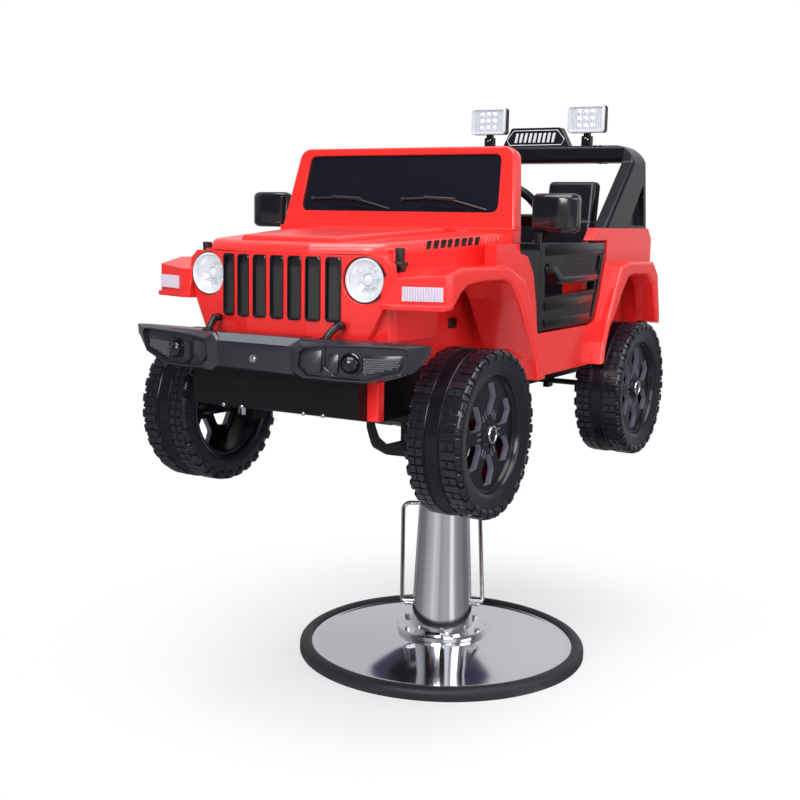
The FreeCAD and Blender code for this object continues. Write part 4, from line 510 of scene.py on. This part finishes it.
# Red body: gloss mouldings of the tub, engine bay, bonnet, nose plate, flares
# and windscreen frame, and the black pan under them.
red = finish("red_moulded_plastic", (0.84, 0.024, 0.021), 0.17, coat=0.30, grain=420, depth=0.012, cloud=0.03,
             soft_edge=0.0022)
bonnet_red = finish("bonnet_red_plastic", (0.84, 0.024, 0.021), 0.30, coat=1.0, grain=420, depth=0.012, cloud=0.03,
                    soft_edge=0.0022)
bonnet_red.node_tree.nodes["Principled BSDF"].inputs["Coat Roughness"].default_value = 0.34
black = finish("black_moulded_plastic", (0.0060, 0.0060, 0.0090), 0.24, grain=650, depth=0.05, cloud=0.08,
               soft_edge=0.0012, shine=0.35)
pan_black = finish("pan_plastic", (0.0038, 0.0038, 0.0055), 0.36, grain=500, depth=0.06, cloud=0.10,
                   soft_edge=0.0015, shine=0.25)
gloss_black = finish("gloss_black_plastic", (0.0060, 0.0060, 0.0085), 0.12, grain=300, depth=0.012, cloud=0.06,
                     coat=0.35)
dress(bonnet_red, "hood")
dress(red, "body_tub", "engine_bay", "grille_panel", "front_fenders", "rear_fenders", "windshield_frame")
dress(pan_black, "chassis_pan")


# Grille: seven slots, each with a rounded black frame that stands a little
# proud, and in it a lattice of fine slanting bars before a pale back plate, whose paleness is painted light standing
# in for the glints between the bars.
def rod(path, radius, sides=10, rounds=0):
    """A round bar along a line of points, in millimetres."""
    shape = bmesh.new()
    path = [Vector(point) for point in path]
    way = (path[1] - path[0]).normalized()
    bmesh.ops.create_circle(shape, cap_ends=True, segments=sides, radius=radius)
    bmesh.ops.rotate(shape, cent=(0, 0, 0), matrix=Vector((0, 0, 1)).rotation_difference(way).to_matrix(),
                     verts=shape.verts)
    bmesh.ops.translate(shape, vec=path[0], verts=shape.verts)
    cap = shape.faces[:][0]
    for number in range(1, len(path)):
        onward = (path[min(number + 1, len(path) - 1)] - path[number - 1]).normalized()
        grown = bmesh.ops.extrude_face_region(shape, geom=[cap])["geom"]
        cap = next(part for part in grown if isinstance(part, bmesh.types.BMFace))
        ring = list(cap.verts)
        bmesh.ops.rotate(shape, cent=path[number - 1], matrix=way.rotation_difference(onward).to_matrix(), verts=ring)
        bmesh.ops.translate(shape, vec=path[number] - path[number - 1], verts=ring)
        way = onward
    if rounds:
        ends = [edge for face in shape.faces if len(face.verts) == sides for edge in face.edges]
        soften(shape, set(ends), radius * 0.4, rounds)
    return shape


def nose_bend(shape):
    """Bends a flat shape to the plan of the nose: flat in the middle, swept back at the sides."""
    flat_half, sweep = 60, 27 / 143
    for dot in shape.verts:
        dot.co.y += max(0, abs(dot.co.x) - flat_half) * sweep
    return shape


# The back plates are lifted to pale grey as painted light: it undoes their shadow and shows as glints between the
# bars.
glint_plate_paint = finish("grille_glint_paint", (0.55, 0.55, 0.60), 0.30, depth=0.02)
slot_low, slot_high, slot_half, slot_pitch = 737.0, 839.6, 13.2, 34.7
bar_pitch, bar_rise, bar_along = 4.2, 15.4, -589.6
frames = bmesh.new()
lattice = bmesh.new()
backs = bmesh.new()
for number in range(-3, 4):
    middle = number * slot_pitch
    frame_block = plate(corners(middle - slot_half, middle + slot_half, slot_low, slot_high), "front", -595.0, -581)
    soften(frame_block, long_edges(frame_block, 1), 6.5, 4)
    front = min(frame_block.faces, key=lambda f: f.calc_center_median().y)
    bmesh.ops.inset_region(frame_block, faces=[front], thickness=0.9, depth=0.6)
    bmesh.ops.inset_region(frame_block, faces=[front], thickness=1.6, depth=0.0)
    bmesh.ops.inset_region(frame_block, faces=[front], thickness=1.5, depth=-5.5)
    bars = bmesh.new()
    for lean in (-1, 1):
        for step in range(-3, 25):
            foot = Vector((middle - 12 * lean, bar_along, slot_low + bar_pitch * step))
            head = Vector((middle + 12 * lean, bar_along, slot_low + bar_pitch * step + bar_rise))
            joined(bars, rod([foot, head], 0.72, 4))
    for flat, away in (((middle - 9.6, 0, 0), (-1, 0, 0)), ((middle + 9.6, 0, 0), (1, 0, 0)),
                       ((0, 0, slot_low + 3.4), (0, 0, -1)), ((0, 0, slot_high - 3.4), (0, 0, 1))):
        cut = bmesh.ops.bisect_plane(bars, geom=bars.verts[:] + bars.edges[:] + bars.faces[:], plane_co=flat,
                                     plane_no=away, clear_outer=True, dist=0.001)["geom_cut"]
        bmesh.ops.holes_fill(bars, edges=[part for part in cut if isinstance(part, bmesh.types.BMEdge)], sides=8)
    joined(lattice, bars)
    joined(backs, brick((middle - 9.8, -588.4, slot_low + 3.2), (middle + 9.8, -587.4, slot_high - 3.2)))
    joined(frames, frame_block)
hang("grille_frames", nose_bend(frames), gloss_black, "car", ["grille_inserts"], 40)
hang("grille_lattice", nose_bend(lattice), gloss_black, "car")
hang("grille_glint_plates", nose_bend(backs), glint_plate_paint, "car")

# Headlamps: a black ring and a plated bezel round a facetted bowl, with a
# projector in the middle and a clear domed lens over it all.
bowl_plate = finish("lamp_bowl", (0.86, 0.87, 0.91), 0.14, metal=0.20, depth=0.0, cloud=0.02)
bowl_shade = finish("lamp_bowl_shade", (0.10, 0.10, 0.12), 0.20, metal=0.5, depth=0.0)
bulb_white = finish("projector_white", (0.72, 0.74, 0.80), 0.12, coat=0.5, depth=0.0)
lens_clear = finish("clear_lens", (0.90, 0.92, 0.96), 0.05, coat=0.3, depth=0.0)
lens_clear.node_tree.nodes["Principled BSDF"].inputs["Alpha"].default_value = 0.10


def both(shape):
    """A left-hand shape with its mirror image on the car's right."""
    copy = bmesh.ops.duplicate(shape, geom=shape.verts[:] + shape.edges[:] + shape.faces[:])["geom"]
    bmesh.ops.scale(shape, vec=(-1, 1, 1), verts=[v for v in copy if isinstance(v, bmesh.types.BMVert)])
    bmesh.ops.recalc_face_normals(shape, faces=shape.faces)
    return shape


def facing(shape, across, along, up):
    """Turns a piece drawn on the x axis to look forwards, and puts it in its place."""
    bmesh.ops.rotate(shape, cent=(0, 0, 0), matrix=Matrix.Rotation(-math.pi / 2, 3, "Z"), verts=shape.verts)
    return moved(shape, (across, along, up))


lamp_place = (155, 0, 804.5)
lamp_ring = turned([(37, 552), (37.4, 571), (36.9, 574.0), (36.2, 574.6), (35.6, 574.0), (35.2, 571), (35.2, 552)],
                   "front", 72)
lamp_bezel = turned([(35.3, 560), (35.3, 573.0), (34.4, 575.4), (32.8, 575.6), (31.4, 574.0), (30.2, 571.0),
                     (29.2, 564)], "front", 72)
lamp_bowl = turned([(0, 551), (8, 551.4), (14, 553.4), (20, 557.4), (25, 562.6), (29.6, 570), (29.6, 566), (25, 556),
                    (14, 550), (0, 549)], "front", 32, closed=False)
bowl_teeth = facing(joined(*[
    around(brick((-8.0, -1.1, 17.5), (-3.4, 1.1, 25.5 - abs(step)), 0.4), 1, start + 13 * step)
    for start in (0, 180) for step in range(-3, 4)
]), 0, -560, 0)
bowl_ribs = facing(around(brick((-9.0, -0.5, 9.5), (0.4, 0.5, 28.6)), 8, 11.25), 0, -562, 0)
projector = joined(
    turned([(13.2, 552), (13.2, 562), (12.2, 563.6), (10.8, 563.2), (10.4, 561), (10.4, 552)], "front", 40),
    turned([(0, 569.4), (4, 568.6), (7.4, 566), (9.2, 562.4), (9.6, 558), (9.6, 552), (0, 552)], "front", 32,
           closed=False),
)
lamp_dome = turned([(0, 580.0), (10, 579.2), (20, 576.9), (27, 574.0), (31.2, 571.6), (31.2, 570.2), (26.8, 572.6),
                    (20, 575.4), (10, 577.7), (0, 578.5)], "front", 56, closed=False)
hang("headlamp_rings", both(moved(lamp_ring, lamp_place)), gloss_black, "car")
hang("headlamp_bezels", both(moved(lamp_bezel, lamp_place)), bowl_plate, "car")
hang("headlamp_bowls", both(moved(joined(lamp_bowl, bowl_ribs), lamp_place)), bowl_plate, "car",
     ["headlamp_buckets"], 8)
hang("headlamp_teeth", both(moved(bowl_teeth, lamp_place)), bowl_shade, "car")
hang("headlamp_projectors", both(moved(projector, lamp_place)), bulb_white, "car")
hang("headlamp_lens_domes", both(moved(lamp_dome, lamp_place)), lens_clear, "car", ["headlamp_lenses"])

# Marker lamps in the swept ends of the front flares: a pale lens made of
# upright half-round ribs.
marker = finish("marker_lens", (0.62, 0.56, 0.66), 0.20, coat=0.3, depth=0.0)
marker_lens = plate([(223, -571.0), (223, -573.6), (282, -550.6), (282, -548.0)], "top", 775.4, 797.6)
marker_ribs = 15
for number in range(marker_ribs):
    share = (number + 0.5) / marker_ribs
    across, along = 223 + 59 * share, -573.2 + 23 * share
    joined(marker_lens, rod([(across, along, 776), (across, along, 797)], 2.15, 10))
hang("marker_ribs", both(marker_lens), marker, "car", ["fender_lamps"])


# Front bumper: one black moulding. The middle is a flat plate under a pale
# slanting strip. Each wing has a raised loop round a sunken bay that holds two
# pads, a round fog lamp and a small mesh, and sweeps back to its outer end.
bumper_front, bumper_back, wing_depth = -661, -600, 46


def wing_bend(shape):
    """Bends a flat wing piece back along the sweep of the bumper."""
    middle_half, sweep, curl = 86, 0.1755, 0.000326
    for dot in shape.verts:
        out = max(0, abs(dot.co.x) - middle_half)
        dot.co.y = min(dot.co.y + sweep * out + curl * out * out, bumper_back)
    return shape


bumper_black = finish("bumper_plastic", (0.0150, 0.0155, 0.0235), 0.26, grain=520, depth=0.04, cloud=0.08, coat=0.35)
strip_grey = finish("bumper_strip", (0.12, 0.125, 0.14), 0.20, coat=0.4, grain=300, depth=0.03)
loop_line = [(132, 708.5), (97, 704), (88, 695), (86, 671), (102, 656), (150, 653.5), (199, 653), (253, 670),
             (266, 698), (262, 709), (245, 710.5), (175, 710)]
wing_line = [(132, 714, 12), (84, 714, 12), (70, 703, 6), (70, 663, 6), (94, 650.5, 10), (150, 649, 12),
             (202, 649, 12), (262, 668, 11), (290, 697, 8), (292, 713, 8), (262, 714, 12), (175, 714, 12)]
wing = bmesh.new()
ridge = [wing.verts.new((across, bumper_front, up)) for across, up in loop_line]
skirt = [wing.verts.new((across, bumper_front + deep, up)) for across, up, deep in wing_line]
rear = [wing.verts.new((across, bumper_front + wing_depth, up)) for across, up, deep in wing_line]
count = len(ridge)
for number in range(count):
    after = (number + 1) % count
    wing.faces.new((ridge[number], ridge[after], skirt[after], skirt[number]))
    wing.faces.new((skirt[number], skirt[after], rear[after], rear[number]))
wing.faces.new(rear)
bay = wing.faces.new(ridge)
bmesh.ops.recalc_face_normals(wing, faces=wing.faces)
soften(wing, [e for e in wing.edges if all(v in skirt for v in e.verts)], 4.5, 3)
bay = min((f for f in wing.faces if len(f.verts) == count), key=lambda f: f.calc_center_median().y)
bmesh.ops.inset_region(wing, faces=[bay], thickness=1.2, depth=0.7)
bmesh.ops.inset_region(wing, faces=[bay], thickness=1.4, depth=-0.2)
bmesh.ops.inset_region(wing, faces=[bay], thickness=2.2, depth=-7.0)


def pad(outline, low, high, tilt):
    """A raised pad in the bay whose face leans back at the top."""
    shape = plate(outline, "front", low, high)
    front = min(dot.co.y for dot in shape.verts)
    span = [dot.co.z for dot in shape.verts]
    for dot in shape.verts:
        if dot.co.y < front + 0.1:
            dot.co.y += tilt * (dot.co.z - min(span)) / (max(span) - min(span))
    return soften(shape, shape.edges, 1.3, 2)


wing = joined(
    wing,
    pad([(97, 699), (126, 699), (126, 664.5), (105, 664.5), (94.5, 673), (94.5, 690)], -659.6, -650, 3.4),
    pad([(135.5, 694), (153, 694), (153, 663.5), (141, 663.5), (135.5, 671)], -659.2, -650, 3.4),
    rod([(130.6, -655.6, 704), (130.6, -656.4, 673), (146, -656.4, 659.6), (199, -656.4, 657.9), (247, -656.4, 673),
         (258.5, -656.4, 692), (255.5, -655.6, 705)], 1.15, 8),
    rod([(184, -655.8, 700), (189, -656.2, 691), (190.4, -656.4, 681), (188, -656.2, 671), (182, -655.8, 663)],
        1.2, 8),
    pad([(193, 694), (251.5, 696), (250.5, 678.5), (220, 666), (190, 663.5)], -656.0, -650, 1.0),
)
studs = bmesh.new()
for row in range(9):
    for column in range(16):
        across, up = 192 + column * 3.8 + (row % 2) * 1.9, 665.6 + row * 3.3
        if 193 < across < 249 and up < 692 and up > 665 + max(0, across - 196) * 0.26:
            stud = brick((-1.15, -657.4, -1.15), (1.15, -655.4, 1.15))
            bmesh.ops.rotate(stud, cent=(0, 0, 0), matrix=Matrix.Rotation(math.pi / 4, 3, "Y"), verts=stud.verts)
            joined(studs, moved(stud, (across, 0, up)))
fog_across, fog_up = 172.5, 680.5
fog_ball = bmesh.new()
bmesh.ops.create_uvsphere(fog_ball, u_segments=32, v_segments=18, radius=13.6)
moved(fog_ball, (fog_across, -654.5, fog_up))
fog_ring = moved(turned([(14.2, 652), (14.2, 657.2), (15.2, 658.2), (16.6, 657.6), (17.2, 652)], "front", 40),
                 (fog_across, 0, fog_up))
middle_plate = plate([(-600, 655), (-642, 655), (-655, 661.5), (-655, 702), (-641, 714), (-600, 714)], "side",
                     -74, 74, 1.0)
strip = plate([(-656.4, 702.2), (-642.2, 714.2), (-640, 712), (-653, 700.8)], "side", -84, 84)
for dot in strip.verts:
    if dot.co.z < 706:
        dot.co.x *= 0.80
centre_screw = moved(joined(
    turned([(0, 657.2), (2.6, 657.0), (4.0, 656.0), (4.4, 654), (0, 654)], "front", 24, closed=False),
    turned([(5.2, 654), (5.2, 656.2), (6.4, 656.6), (7.0, 654)], "front", 24),
), (0, 0, 677))
hang("bumper_wings", both(wing_bend(wing)), bumper_black, "car", ["front_bumper"], 22)
hang("bumper_middle", middle_plate, bumper_black, "car")
hang("bumper_strip", soften(strip, strip.edges, 0.5, 1), strip_grey, "car")
hang("bumper_screw", centre_screw, steel, "car")
hang("bumper_mesh", both(wing_bend(studs)), strip_grey, "car")
hang("fog_balls", both(wing_bend(joined(fog_ball, fog_ring))), gloss_black, "car",
     ["fog_lamps"])

# Tow hooks: bent black bars that stand between the grille's foot and the
# bumper's top, each with a flattened foot.
hooks = joined(
    rod([(123, -586, 734), (122.5, -596, 733.5), (121, -604, 730), (118.5, -614, 723), (117, -622, 716),
         (116.6, -625, 711)], 6.0, 12, 2),
    brick((114, -599, 727), (131, -588, 738), 2.4, 2),
    brick((109.5, -634, 708.5), (123.5, -617, 716.4), 2.0, 2),
)
hang("tow_hook_bars", both(hooks), black, "car", ["tow_hooks"])

# Bonnet latches: rubber straps with a cross bar, hooked over a black base on
# the bonnet's flanks.
latch_rubber = finish("latch_rubber", (0.014, 0.014, 0.016), 0.5, grain=700, depth=0.12)
latches = joined(
    plate([(-538, 856), (-525, 856), (-524, 852), (-526, 832), (-537, 832)], "side", 188, 199.5, 2.0, 2),
    plate([(-545, 834), (-519, 834), (-518, 829), (-527, 824), (-529, 813), (-534, 811), (-538, 823), (-546, 829)],
          "side", 190, 203.0, 2.2, 2),
    rod([(201, -543, 831.5), (201, -521, 831.5)], 2.6, 10, 1),
)
hang("latch_straps", both(latches), latch_rubber, "car", ["hood_latches"])


# Bonnet flanks: a row of plain black slanting stripes, and four small moulded
# ribs that mark the vents by the windscreen.
stripe_black = finish("stripe_black", (0.012, 0.011, 0.014), 0.22, depth=0.0, coat=0.3)


def flank_bend(shape):
    """Carries a shape drawn on the plane x = 0 to the bonnet's flank."""
    for dot in shape.verts:
        dot.co.x += 174 + (dot.co.y + 556) * 66 / 316
        dot.co.z += (dot.co.y + 590) * 19 / 350
    return shape


stripe_pitch = 17.5
stripes = joined(*[
    plate([(-452 + stripe_pitch * step, 845), (-452 + stripe_pitch * step + 9 + step % 3, 845),
           (-452 + stripe_pitch * step + 14 + step % 3, 858.5), (-452 + stripe_pitch * step + 5, 858.5)],
          "side", -1, 0.7)
    for step in range(8)
])
hang("bonnet_stripes", both(flank_bend(stripes)), stripe_black, "car")
vent_ribs = joined(*[
    rod([(0.2, -300 + 11 * step, 843), (0.6, -301 + 11 * step, 849), (0.2, -296.5 + 11 * step, 855)], 1.5, 8)
    for step in range(4)
])
hang("bonnet_vent_ribs", both(flank_bend(vent_ribs)), red, "car")

# Windscreen: a near black panel in the red frame, with two moulded wipers that
# lie on it, each an arm and a blade.
screen_dark = finish("dark_screen", (0.0048, 0.0056, 0.0120), 0.18, depth=0.004, cloud=0.05, grain=200)
wiper_grey = finish("wiper_plastic", (0.018, 0.019, 0.026), 0.36, grain=500, depth=0.05)
dress(screen_dark, "windshield_panel")
screen_lean = math.radians(13.5)
screen_foot = (0, -205, 887)


def on_screen(shape):
    """Leans a shape drawn on the plane y = 0 back onto the windscreen, from its foot up."""
    bmesh.ops.rotate(shape, cent=(0, 0, 0), matrix=Matrix.Rotation(-screen_lean, 3, "X"), verts=shape.verts)
    return moved(shape, screen_foot)


wipers = bmesh.new()
for start in (-190, 12):
    joined(
        wipers,
        rod([(start, -24.6, 46), (start + 50, -25.2, 48), (start + 104, -25.2, 45), (start + 178, -24.4, 27)],
            2.2, 8, 1),
        rod([(start + 46, -25.6, 49.4), (start + 112, -25.6, 46.4)], 3.0, 8, 1),
        rod([(start - 2, -25.0, 46), (start + 5, -25.0, 46.2)], 4.2, 10, 1),
    )
hang("wiper_arms", on_screen(wipers), wiper_grey, "car")

# Folding mirrors: a rounded glossy shell with one crease down its front and a
# polished plate let into the back.
mirror_plate = finish("mirror_plate", (0.78, 0.79, 0.82), 0.05, metal=1.0, depth=0.0)
for side, place in (("left", 1), ("right", -1)):
    shell = plate([(266.5, -177.5), (266, -195), (272, -207), (320, -210), (338, -206.4), (352, -191.5),
                   (351.2, -175.5), (341, -170.4), (278, -170.4)], "top", 881, 950)
    soften(shell, [e for e in shell.edges if abs(e.verts[0].co.z - e.verts[1].co.z) < 1], 11, 4)
    soften(shell, long_edges(shell, 2, 20), 1.6, 2)
    glass = plate(corners(279, 341, 891, 940), "front", -171.2, -170.0)
    soften(glass, long_edges(glass, 1, 0.5), 7, 3)
    for shape in (shell, glass):
        bmesh.ops.scale(shape, vec=(place, 1, 1), verts=shape.verts)
    hang("mirror_shell_" + side, shell, gloss_black, "mirror_" + side, ["mirror_" + side])
    hang("mirror_glass_" + side, glass, mirror_plate, "mirror_" + side)

# Cabin: a black dash, a three-spoke steering wheel, and two seats with ribbed
# backs and cushions and square headrests.
dress(black, "dashboard", "steering_column", "steering_wheel", "seat_shell")
seat_top, back_lean = 747, 0.175
seat_trim = bmesh.new()
for up in (770, 800, 830, 860):
    lean = (up - seat_top) * back_lean
    joined(seat_trim, brick((46, 236 + lean, up), (178, 243 + lean, up + 16), 3.0, 2))
for across in (60, 92, 124, 156):
    joined(seat_trim, brick((across, 62, 744), (across + 20, 210, 748.8), 2.0, 2))
hang("seat_ribs", both(seat_trim), black, "car")

# Doors: a black moulded frame. Its rail stands proud of it, a kinked armrest
# runs under a pierced speaker panel, two bars cross the foot, and a tube with
# three knuckles forms the hinge.
door_black = finish("door_plastic", (0.0066, 0.0064, 0.0088), 0.22, grain=480, depth=0.09, cloud=0.08,
                    soft_edge=0.001, shine=0.35)
dress(door_black, "door_left", "door_right")


def left_door_trim():
    """Everything moulded onto the left door's outer face."""
    rail = brick((259.5, -117, 838.5), (265.2, 174, 861.4), 2.6, 2)
    armrest = plate([(-117, 806), (-84, 806), (-52, 786.5), (140, 786.5), (140, 798.5), (-43, 798.5), (-76, 819),
                     (-117, 819)], "side", 260, 265.4, 1.8, 2)
    foot_bars = joined(
        plate([(-117, 737), (118, 744), (114, 757.5), (-117, 757.5)], "side", 260, 264.8, 1.6, 2),
        plate([(-117, 706), (98, 709.5), (108, 722), (-117, 722)], "side", 260, 265.2, 1.6, 2),
    )
    frame_edge = plate([(112, 712), (124, 716), (146, 760), (172, 838), (160, 838), (136, 762)], "side", 260, 264.9,
                       1.4, 2)
    knuckles = joined(*[
        moved(turned([(6.2, low), (8.6, low + 0.8), (8.6, high - 0.8), (6.2, high)], "z", 24), (254, -141, 0))
        for low, high in ((703, 735), (760, 792), (832, 860))
    ])
    hole_along, hole_up, stagger = 9.5, 7.2, 4.7
    holes = joined(*[
        brick((261.0, -26 + hole_along * column + stagger * (row % 2), 802.5 + hole_up * row),
              (262.6, -21.4 + hole_along * column + stagger * (row % 2), 806.6 + hole_up * row), 0.6)
        for row in range(5) for column in range(15)
    ])
    stop_handle = rod([(262, 140, 803), (264.6, 143, 808), (264.6, 151, 832), (262, 153, 836)], 2.4, 8)
    return joined(rail, armrest, foot_bars, frame_edge, knuckles, holes, stop_handle)


for side, place in (("left", 1), ("right", -1)):
    trim = left_door_trim()
    bmesh.ops.scale(trim, vec=(place, 1, 1), verts=trim.verts)
    hang("door_trim_" + side, trim, door_black, "door_" + side)

# Roll bar: black blow-moulded side frames under a cross beam, with two clamp
# seams near each end of the beam and a sunken triangle on each side.
hoop_black = finish("hoop_plastic", (0.0062, 0.0064, 0.0100), 0.22, grain=520, depth=0.07, cloud=0.09,
                    soft_edge=0.003, shine=0.35)
dress(hoop_black, "roll_bar")
seams = both(joined(*[
    plate(corners(386.0, 436.6, 1031, 1070.8), "side", across, across + 1.6, 0.6, 1)
    for across in (148, 160)
]))
bmesh.ops.scale(seams, vec=(1, 1.012, 1), space=Matrix.Translation((0, -411, 0)), verts=seams.verts)
hang("beam_seams", seams, hoop_black, "car")

# Sign board: a black board edged by a fine white line, with a row of plain
# slanting bars inside it.
sign_black = finish("sign_black", (0.0060, 0.0060, 0.0105), 0.25, coat=0.2, depth=0.01)
sign_white = finish("sign_white", (0.72, 0.73, 0.78), 0.35, depth=0.0)
dress(sign_black, "sign_board")
line_path = [(-54, 1106), (54, 1106), (71, 1086), (64, 1073.5), (-64, 1073.5), (-71, 1086), (-54, 1106), (54, 1106)]
hang("sign_line", rod([(across, 398.4, up) for across, up in line_path], 0.95, 6), sign_white, "car")
bar_across = 11.4
sign_bars = joined(*[
    plate([(-52 + bar_across * step, 1079), (-45.8 + bar_across * step, 1079), (-41.6 + bar_across * step, 1100),
           (-47.8 + bar_across * step, 1100)], "front", 398.0, 399.4, 0.3, 1)
    for step in range(9)
])
hang("sign_bars", sign_bars, sign_white, "car")

# Spot lamps: a black finned case behind a white bezel, nine bright cups on a
# pale ribbed pane, and a square post with two screws in its face.
bezel_white = finish("spot_bezel_white", (0.66, 0.67, 0.70), 0.30, depth=0.0, coat=0.2)
lens_blue = finish("spot_lens_pale", (0.40, 0.44, 0.56), 0.12, coat=0.5, depth=0.0)
cup_bright = finish("spot_cup_bright", (0.80, 0.84, 0.92), 0.10, coat=0.4, depth=0.0)
dress(black, "spot_posts", "spot_lamp_left", "spot_lamp_right")
spot_across, spot_half, spot_low, spot_high, rib_pitch, fin_pitch = 121, 43, 1099, 1159, 74 / 17, 11.3
for side, place in (("left", 1), ("right", -1)):
    middle = spot_across * place
    bezel = plate(corners(middle - spot_half, middle + spot_half, spot_low, spot_high), "front", 397.6, 406)
    soften(bezel, long_edges(bezel, 1), 6.5, 4)
    front = min(bezel.faces, key=lambda f: f.calc_center_median().y)
    bmesh.ops.inset_region(bezel, faces=[front], thickness=1.2, depth=0.8)
    bmesh.ops.inset_region(bezel, faces=[front], thickness=3.0, depth=0.0)
    bmesh.ops.inset_region(bezel, faces=[front], thickness=0.9, depth=-2.4)
    pane = plate(corners(middle - 38, middle + 38, 1104, 1154), "front", 399.6, 403, 1.0, 1)
    cups = bmesh.new()
    for column in (-1, 0, 1):
        for row in (-1, 0, 1):
            cup = turned([(0, -397.6), (3.2, -397.9), (5.8, -399.0), (6.9, -400.4), (0, -400.4)], "front", 20,
                         closed=False)
            joined(cups, moved(cup, (middle + 16 * column, 0, 1129 + 15.4 * row)))
    ribs = joined(*[
        brick((middle + step * rib_pitch - 0.7, 399.0, 1105), (middle + step * rib_pitch + 0.7, 400, 1153))
        for step in range(-8, 9)
    ])
    fins = joined(*[
        brick((middle - 34 + fin_pitch * step, 422, 1106), (middle - 31 + fin_pitch * step, 424, 1152), 0.6)
        for step in range(7)
    ])
    body = "spot_" + side
    hang("spot_bezel_" + side, bezel, bezel_white, body, ["spot_lens_" + side])
    hang("spot_pane_" + side, joined(pane, ribs), lens_blue, body)
    hang("spot_cups_" + side, cups, cup_bright, body)
    hang("spot_fins_" + side, fins, black, body)
post_screws = joined(*[
    moved(turned([(0, -403.4), (1.6, -403.6), (2.5, -404.2), (2.7, -405), (0, -405)], "front", 16, closed=False),
          (spot_across + across, 0, 1085 + up)) for across, up in ((-3, 2), (3, -1))
])
post_face = brick((112, 403.8, 1072), (130, 409, 1092), 1.2, 1)
hang("post_faces", both(post_face), black, "car")
hang("post_screws", both(post_screws), steel, "car")

# Rear: a black bumper, and dark red tail lamps with three moulded ribs.
tail_red = finish("tail_lens", (0.42, 0.012, 0.012), 0.14, coat=0.5, depth=0.0)
dress(bumper_black, "rear_bumper")
dress(tail_red, "tail_lamps")
tail_ribs = joined(*[brick((214, 466.2, up), (242, 468.2, up + 10), 0.9) for up in (796, 813, 830)])
hang("tail_ribs", both(tail_ribs), tail_red, "car")

# Fixings: bright screws under the nose, and a small black plug in each front
# wheel arch.
screw = [(0, 3.2), (2.2, 3.0), (3.4, 2.0), (3.6, 0), (0, 0)]
nose_screws = joined(*[
    moved(turned([(radius, 604.6 + out) for radius, out in screw], "front", 14, closed=False), (across, 0, 588.5))
    for across in (-100, -62, 62, 100)
])
hang("nose_screws", nose_screws, steel, "car")
plugs = brick((160, -311, 712), (168.5, -284, 730), 1.6, 1)
hang("arch_plugs", both(plugs), black, "car")
